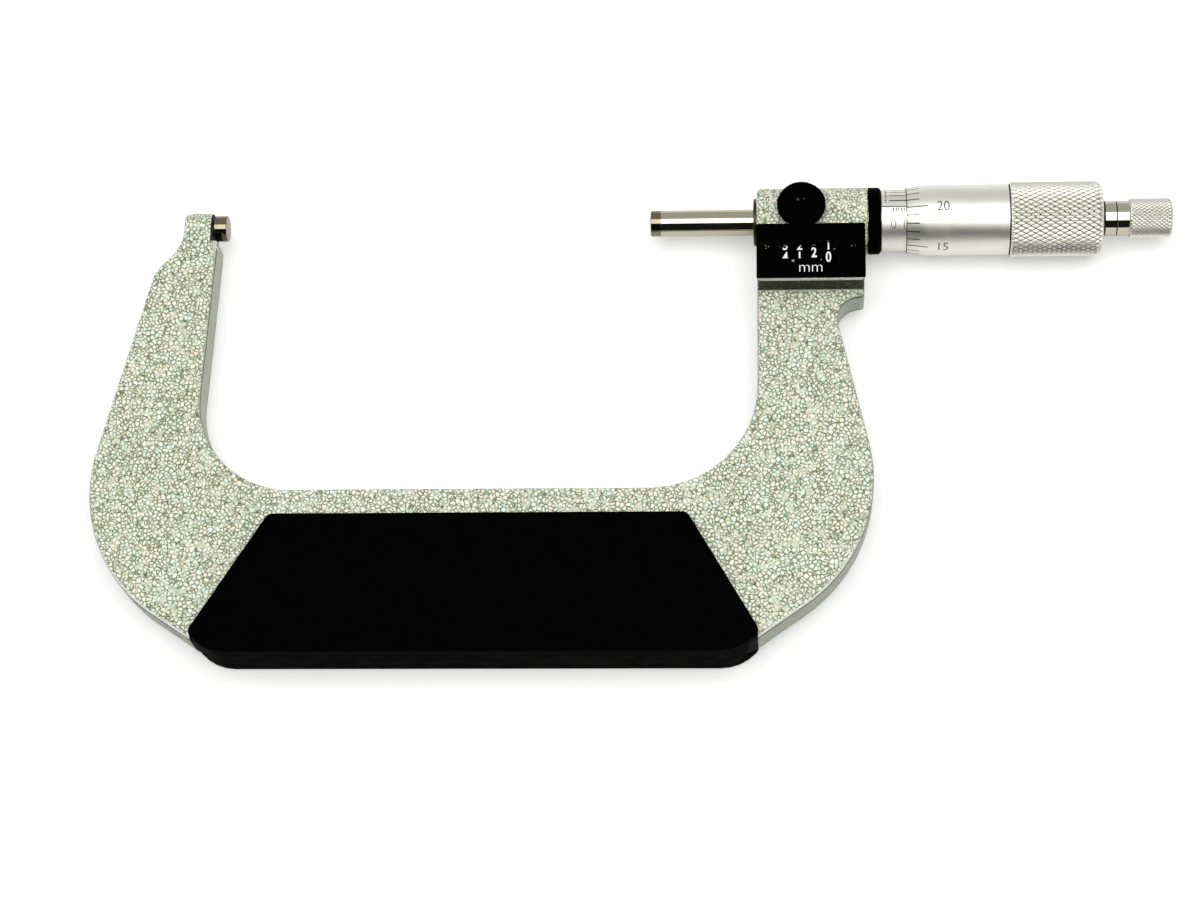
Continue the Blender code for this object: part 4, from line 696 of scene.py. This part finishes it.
def make_frame():
    plate = prism(frame_outline(), -HALF_FRAME, HALF_FRAME)
    outside = 8.0
    above = ARM_TOP + 6.0
    beside = ARM_LEFT - 6.0
    round_start = ARM_TOP - ARM_ROUND
    flat = HALF_FRAME - ARM_ROUND
    arc = [math.radians(a) for a in range(0, 91, 6)]
    front = [(round_start + ARM_ROUND * math.sin(a), flat + ARM_ROUND * math.cos(a)) for a in arc]
    back = [(y, -z) for y, z in reversed(front)]
    cap = [(round_start, outside)] + front + back
    cap += [(round_start, -outside), (above, -outside), (above, outside)]
    corner = rounded(
        [
            (beside, ARM_TOP - ARM_CORNER, 0),
            (ARM_LEFT, ARM_TOP - ARM_CORNER, 0),
            (ARM_LEFT, ARM_TOP, ARM_CORNER),
            (ARM_LEFT + ARM_CORNER, ARM_TOP, 0),
            (ARM_LEFT + ARM_CORNER, above, 0),
            (beside, above, 0),
        ],
        math.radians(6),
    )
    boss = [
        (BOSS_LEFT, 0),
        (BOSS_LEFT, BOSS_RADIUS - 0.3),
        (BOSS_LEFT + 0.3, BOSS_RADIUS),
        (BOSS_RIGHT, BOSS_RADIUS),
        (BOSS_RIGHT, 0),
    ]
    housing = [
        (-HOUSING_BOTTOM - 0.35, 4.0),
        (-HOUSING_BOTTOM, HOUSING_HEIGHT),
        (-HOUSING_TOP, HOUSING_HEIGHT),
        (-HOUSING_TOP, 9.0),
        (-HOUSING_TOP + 1.6, BOSS_RADIUS - 1.1),
        (-HOUSING_TOP + 3.6, 4.0),
    ]
    left, right, low, high = 134.3, 152.6, -18.9, -6.92
    cavity = [(left, low), (right, low), (right, high), (left, high)]
    bore = [
        (129.0, 0),
        (129.0, 4.7),
        (136.1, 4.7),
        (136.1, 3.3),
        (149.3, 3.3),
        (149.3, 6.2),
        (160.0, 6.2),
        (160.0, 0),
    ]
    steps = [
        ("DIFFERENCE", prism(cap, -16.0, 2.0, "yzx")),
        ("DIFFERENCE", prism(corner, -outside, outside)),
        ("UNION", round_solid(boss, 96)),
        ("UNION", prism(housing, THROAT_RIGHT, HOUSING_RIGHT, "yzx")),
        ("DIFFERENCE", round_solid(rod(-9.4, 1.0, ANVIL_HOLE), 40)),
        ("DIFFERENCE", round_solid(bore, 64)),
        ("DIFFERENCE", prism(cavity, -1.75, 14.0)),
        ("DIFFERENCE", round_solid(rod(1.0, 9.5, LOCK_HOLE), 32, "z", (LOCK_X, 0, 0))),
    ]
    mesh = combined(plate, steps, voxel=0.56, smooth=5)
    slot = "hammertone_paint"
    finish_piece("frame_casting", mesh, paints[slot], "frame", ["frame"], 70.0)


# Thimble, sleeve and ratchet
def thimble_radius(x):
    share = min(1.0, (x - THIMBLE_EDGE) / THIMBLE_BEVEL)
    return THIMBLE_EDGE_RADIUS + (THIMBLE_RADIUS - THIMBLE_EDGE_RADIUS) * share


def make_thimble():
    start, end, top = GRIP_START, THIMBLE_END, GRIP_RADIUS
    drop = 1.6
    round_start = end - 2.0

    def radius_at(x):
        along = min(1.0, max(0.0, (x - round_start) / (end - round_start)))
        return top - drop * (1.0 - math.sqrt(1.0 - along * along))

    before = [
        (THIMBLE_EDGE, 7.6),
        (THIMBLE_EDGE, 7.8),
        (THIMBLE_EDGE + 0.18, 7.88),
        (THIMBLE_EDGE + THIMBLE_BEVEL, THIMBLE_RADIUS),
        (start - 0.42, THIMBLE_RADIUS),
        (start - 0.38, THIMBLE_RADIUS - 0.3),
        (start - 0.1, THIMBLE_RADIUS - 0.3),
        (start - 0.08, top - 0.1),
    ]
    after = [
        (end - 0.22, radius_at(end - 0.22)),
        (end - 0.06, radius_at(end - 0.06)),
        (end, top - drop),
        (end, 3.8),
        (211.9, 3.8),
        (200.9, 4.8),
        (200.7, 7.6),
    ]
    depth = 0.36
    vertices, faces = knurled(before, after, radius_at, start, end - 0.45, count=42, pitch=2.3, depth=depth)

    def pick(x, radius):
        # Painted shade: the thimble's edge face and the groove before the knurl are black, and faces deep in
        # the knurl take the groove shade
        if x < THIMBLE_EDGE + 0.17 or start - 0.43 < x < start - 0.09:
            return 1
        low = radius_at(x)
        in_groove = x > start and low - 2 * depth < radius < low - 0.62 * depth
        return 2 if in_groove else 0

    paint = ((paints["satin_chrome"], black_ink_and_shade, knurl_groove_shade), pick)
    piece_from("thimble_shell", vertices, faces, paint, "spindle", ["thimble"], 24.0)


def make_thimble_marks():
    lines = Marks(thimble_radius)
    numbers = Marks(thimble_radius)
    bevel_end = THIMBLE_EDGE + THIMBLE_BEVEL
    bevel_middle = 8.2
    half = LINE_HALF / bevel_middle
    for k in range(THIMBLE_LINES):
        turn = THIMBLE_TWENTY + (k - 20) * 2 * math.pi / THIMBLE_LINES
        end = LONG_LINE_END if k % 5 == 0 else SHORT_LINE_END
        lines.strip(THIMBLE_EDGE + 0.08, min(end, bevel_end), turn - half, turn + half, 4)
        if end > bevel_end:
            lines.strip(bevel_end, end, turn - half, turn + half)
        if k % 5 == 0:
            numbers.text(str(k), NUMBER_X, turn, height=2.6, wide=0.86)
    piece_from("thimble_lines", lines.vertices, lines.faces, black_ink_and_shade, "spindle")
    piece_from("thimble_numbers", numbers.vertices, numbers.faces, grey_ink, "spindle")
    # Painted shadow: a black band on the stem beside the thimble's end
    joint = Marks(STEM_RADIUS)
    joint.strip(THIMBLE_END + 0.02, THIMBLE_END + 0.8, 0.0, 2 * math.pi, 1, 64)
    piece_from("stem_joint_shadow", joint.vertices, joint.faces, black_ink_and_shade, "spindle")


def make_sleeve():
    profile = [
        (SLEEVE_LEFT, SLEEVE_BORE),
        (SLEEVE_LEFT, SLEEVE_RADIUS - 0.1),
        (SLEEVE_LEFT + 0.1, SLEEVE_RADIUS),
        (SLEEVE_RIGHT - 0.3, SLEEVE_RADIUS),
        (SLEEVE_RIGHT, SLEEVE_RADIUS - 0.3),
        (SLEEVE_RIGHT, SLEEVE_BORE),
    ]
    vertices, faces = turned(profile, 180)
    slot = "satin_chrome"
    piece_from("sleeve_tube", vertices, faces, paints[slot], "frame", ["outer_sleeve"])


def make_sleeve_marks():
    marks = Marks(SLEEVE_RADIUS)
    half = LINE_HALF / SLEEVE_RADIUS
    lines_end = SLEEVE_RIGHT - 1.5
    marks.strip(SLEEVE_LEFT + 0.1, lines_end, DATUM - half, DATUM + half)
    for k in range(TICKS):
        x = ZERO_X + TICK_PITCH * k
        marks.strip(x - LINE_HALF, x + LINE_HALF, TICK_END, TICK_START, 1, 6)
        if k % 4 == 0:
            marks.text(str(k // 4 % 10), x, LABEL_TURN, height=2.4, wide=0.82, weight=-0.02)
    for k in range(1, 11):
        turn = DATUM + VERNIER_STEP * k
        marks.strip(VERNIER_X, lines_end, turn - half, turn + half)
        marks.text(str(k % 10), VERNIER_X - 0.85, turn, height=1.2, wide=0.9)
    piece_from("sleeve_marks", marks.vertices, marks.faces, black_ink_and_shade, "frame")


def make_ratchet_knob():
    left = 217.4
    knurl = left + 3.0
    right = knurl + 10.4
    bore = 1.85
    before = [
        (left, bore),
        (left, 3.9),
        (left + 0.14, 4.16),
        (left + 0.2, STEM_RADIUS),
        (knurl - 0.02, STEM_RADIUS),
        (knurl, 4.3),
        (knurl + 0.25, 4.6),
    ]
    after = [(right - 0.4, 4.4), (right, 3.98), (right, 2.8), (right - 1.6, 2.8), (right - 1.6, bore)]
    rim = 4.68
    vertices, faces = knurled(
        before, after, lambda x: rim, knurl + 0.35, right - 0.6, count=32, pitch=1.2, depth=0.2
    )

    def pick(x, radius):
        # Painted shade: a black line at the cap's left end, and the groove shade on faces deep in the knurl
        if x < knurl:
            return 1 if x < left + 0.15 else 2
        return 3 if 4.4 < radius < 4.56 else 0

    paint = ((paints["satin_chrome"], black_ink_and_shade, bright_chrome, knurl_groove_shade), pick)
    piece_from("ratchet_cap", vertices, faces, paint, "ratchet", ["ratchet_knob"], 24.0)


# Lock knob
def make_lock_knob():
    teeth = 66
    per_tooth = 6
    top = 11.5
    profile = [
        (8.75, 0),
        (8.75, 3.2),
        (9.5, 3.4),
        (9.5, 5.35),
        (9.7, 5.87),
        (11.2, 5.87),
        (11.5, 5.4),
        (top + 0.12, 4.6),
        (top + 0.28, 3.2),
        (top + 0.35, 1.7),
        (top + 0.3, 1.0),
        (top + 0.22, 0.0),
    ]

    def relief(z, k):
        return -0.4 * abs(2 * (k / per_tooth % 1.0) - 1) if 9.6 < z < 11.3 else 0.0

    vertices, faces = turned(profile, teeth * per_tooth, relief)
    vertices = [(LOCK_X - z, y, x) for x, y, z in vertices]
    slot = "black_metal"
    piece_from("lock_wheel", vertices, faces, paints[slot], "lock_knob", ["lock_knob"], 28.0)
    # Painted glints: small dim spots on the top of the lock knob
    spots = [(-0.84, 0.7, 0.28), (-0.66, 0.62, 0.2), (0.67, 0.84, 0.16)]
    make_spots("knob_glints", LOCK_X, 0.0, spots, top + 0.4, faint_glint_paint, "lock_knob")


def make_spots(name, middle_x, middle_y, spots, level, paint, body):
    """Small flat round spots at (x, y, radius), counted from a middle."""
    steps = 16
    vertices = []
    faces = []
    for x, y, radius in spots:
        start = len(vertices)
        for k in range(steps):
            turn = 2 * math.pi * k / steps
            across = x + radius * math.cos(turn)
            up = y + radius * math.sin(turn)
            vertices.append((middle_x + across, middle_y + up, level))
        faces.append(tuple(range(start, start + steps)))
    piece_from(name, vertices, faces, paint, body)


# Digits of the counter
def make_digits():
    """Ten digits on each wheel; the shown one faces the window but for a tilt in degrees."""
    shown = (("inches", 4, 14.5), ("tenths", 1, 14.5), ("hundredths", 2, 0.5), ("thousandths", 0, 14.0))
    for x, (body, digit, tilt) in zip(WHEEL_PLACES, shown):
        marks = Marks(WHEEL_RADIUS, WHEEL_AXIS, 0.02)
        for k in range(10):
            turn = math.radians(36.0 * (k - digit) - tilt)
            marks.text(str(k), x, turn, height=2.62, wide=0.76, weight=0.022)
        piece_from(f"digits_{body}", marks.vertices, marks.faces, white_ink, body)


# Marks on the cover, and painted glints on its screws
def make_cover_marks():
    flat, faces = letters("mm", 1.74, 0.96, -0.016)
    level = COVER_FRONT + 0.012
    middle_x, middle_y = 143.55, -17.5
    vertices = [(middle_x + across, middle_y + up, level) for across, up in flat]
    piece_from("cover_marks", vertices, faces, white_ink, "frame")
    make_spots("cover_point", 139.34, -15.5, [(0.0, 0.0, 0.33)], level, dull_ink_and_glint, "frame")
    # Painted glints: small reddish and grey spots on the cover's screws
    left = [(-0.42, 0.28, 0.12), (0.28, 0.0, 0.12), (-0.33, -0.42, 0.11)]
    make_spots("screw_glints_left", SCREW_LEFT, SCREW_HEIGHT, left, SCREW_TOP, red_glint_paint, "frame")
    right = [(-0.6, 0.0, 0.12), (0.3, 0.0, 0.07)]
    make_spots("screw_glints_right", SCREW_RIGHT, SCREW_HEIGHT, right, SCREW_TOP, dull_ink_and_glint, "frame")


# CAD solids that keep their shape
def smooth_normals(node, limit=math.radians(35)):
    """Rounds look round: each corner's normal is the mean of the faces that meet there at a small angle."""
    mesh = node.data
    planes = {}
    meeting = {}
    for face in mesh.polygons:
        plane = tuple(round(c, 3) for c in face.normal)
        planes[plane] = planes.get(plane, 0.0) + face.area
        for corner in face.vertices:
            place = tuple(round(c * 1e6) for c in mesh.vertices[corner].co)
            meeting.setdefault(place, {})[plane] = face.normal.copy()
    least = math.cos(limit)
    normals = []
    for face in mesh.polygons:
        for corner in face.vertices:
            place = tuple(round(c * 1e6) for c in mesh.vertices[corner].co)
            total = Vector()
            for plane, normal in meeting[place].items():
                if face.normal.dot(normal) > least:
                    total += normal * planes[plane]
            normals.append(total.normalized())
    mesh.normals_split_custom_set(normals)


def dress_nodes():
    """The shown CAD nodes get their paints, and normals for even shading; their points stay."""
    special = {"ratchet_stem": bright_chrome, "front_bush": dark_steel, "anvil": paints["carbide"]}
    for part in record["subparts"]:
        node = nodes[part["node"]]
        node.data.materials.clear()
        node.data.materials.append(special.get(part["node"], paints[part["material_slot"]]))
        if not node.hide_render:
            smooth_normals(node)


# All pieces of the object
make_frame()
make_thimble()
make_thimble_marks()
make_sleeve()
make_sleeve_marks()
make_ratchet_knob()
make_lock_knob()
make_digits()
make_cover_marks()
dress_nodes()


# Camera
def make_camera():
    lens = bpy.data.cameras.new("camera")
    lens.sensor_fit = "HORIZONTAL"
    lens.sensor_width = SENSOR_WIDTH
    lens.lens = SENSOR_WIDTH * FOCAL_LENGTH / PICTURE_WIDTH
    lens.clip_start = 0.01
    lens.clip_end = 20.0
    camera = bpy.data.objects.new("camera", lens)
    turns = Matrix.Rotation(YAW, 3, "Y") @ Matrix.Rotation(PITCH, 3, "X") @ Matrix.Rotation(ROLL, 3, "Z")
    camera.matrix_world = Matrix.Translation(Vector(CAMERA_PLACE) * MM) @ turns.to_4x4()
    bpy.context.scene.collection.objects.link(camera)
    bpy.context.scene.camera = camera


# Floor, world and lamps
def make_stage():
    """White floor that the grips and the thimble rest on, so that it slopes a little."""
    front_y, front_z = -0.0935, -0.0086
    back_z = -0.00906
    slope = (back_z - front_z) / (0.0 - front_y)
    corners = []
    for side, end in ((-1, -1), (1, -1), (1, 1), (-1, 1)):
        y = end * FLOOR_REACH
        corners.append((side * FLOOR_REACH, y, front_z + (y - front_y) * slope - FLOOR_GAP))
    mesh = bpy.data.meshes.new("floor")
    mesh.from_pydata(corners, [], [(0, 1, 2, 3)])
    made = bpy.data.materials.new("floor_white")
    made.use_nodes = True
    tree = Tree(made.node_tree)
    matte = tree.add("ShaderNodeBsdfDiffuse")
    matte.inputs["Color"].default_value = (0.86, 0.86, 0.85, 1.0)
    path = tree.add("ShaderNodeLightPath")
    seen = path.outputs["Is Camera Ray"]
    glow = tree.add("ShaderNodeEmission")
    tree.feed(glow, "Strength", tree.product(seen, 0.3))
    both = tree.add("ShaderNodeAddShader")
    tree.feed(both, "0", matte.outputs[0])
    tree.feed(both, "1", glow.outputs[0])
    tree.surface(both.outputs[0])
    mesh.materials.append(made)
    floor = bpy.data.objects.new("floor", mesh)
    bpy.context.scene.collection.objects.link(floor)


def make_world():
    """Pale room, with a dark part above the near side that polished metal mirrors as a black band."""
    world = bpy.data.worlds.new("studio")
    bpy.context.scene.world = world
    world.use_nodes = True
    tree = Tree(world.node_tree)
    direction = tree.add("ShaderNodeTexCoord").outputs["Generated"]
    toward = tree.axes(direction)
    angle = tree.math("ARCTAN2", tree.math("MULTIPLY", toward["Y"], -1.0), toward["Z"])
    near_side = tree.product(tree.span(angle, 0.40, 0.47), tree.fall(angle, 1.50, 1.60))
    ahead = tree.fall(tree.math("ABSOLUTE", toward["X"]), 0.7, 0.95)
    pale, dark = 0.68, 0.015
    light = tree.span(tree.product(near_side, ahead), 0.0, 1.0, pale, dark)
    path = tree.add("ShaderNodeLightPath")
    strength = tree.math("MAXIMUM", light, path.outputs["Is Camera Ray"])
    shine = tree.add("ShaderNodeBackground")
    tree.feed(shine, "Strength", strength)
    out = tree.add("ShaderNodeOutputWorld")
    tree.tree.links.new(shine.outputs[0], out.inputs["Surface"])


def make_lamp(name, x, y, size, power):
    """A soft lamp that hangs level and shines straight down."""
    lamp = bpy.data.lights.new(name, "AREA")
    lamp.shape = "RECTANGLE"
    lamp.size, lamp.size_y = size
    lamp.energy = power
    item = bpy.data.objects.new(name, lamp)
    item.location = (x, y, LAMP_HEIGHT)
    item.rotation_euler = Vector((0.0, 0.0, -LAMP_HEIGHT)).to_track_quat("-Z", "Y").to_euler()
    bpy.context.scene.collection.objects.link(item)


make_camera()
make_stage()
make_world()
make_lamp("soft_box", 0.1, -0.075, (1.6, 0.87), 12.5)
make_lamp("side_box", 0.62, -0.76, (0.8, 0.36), 2.6)
bpy.context.scene.view_settings.view_transform = "Standard"
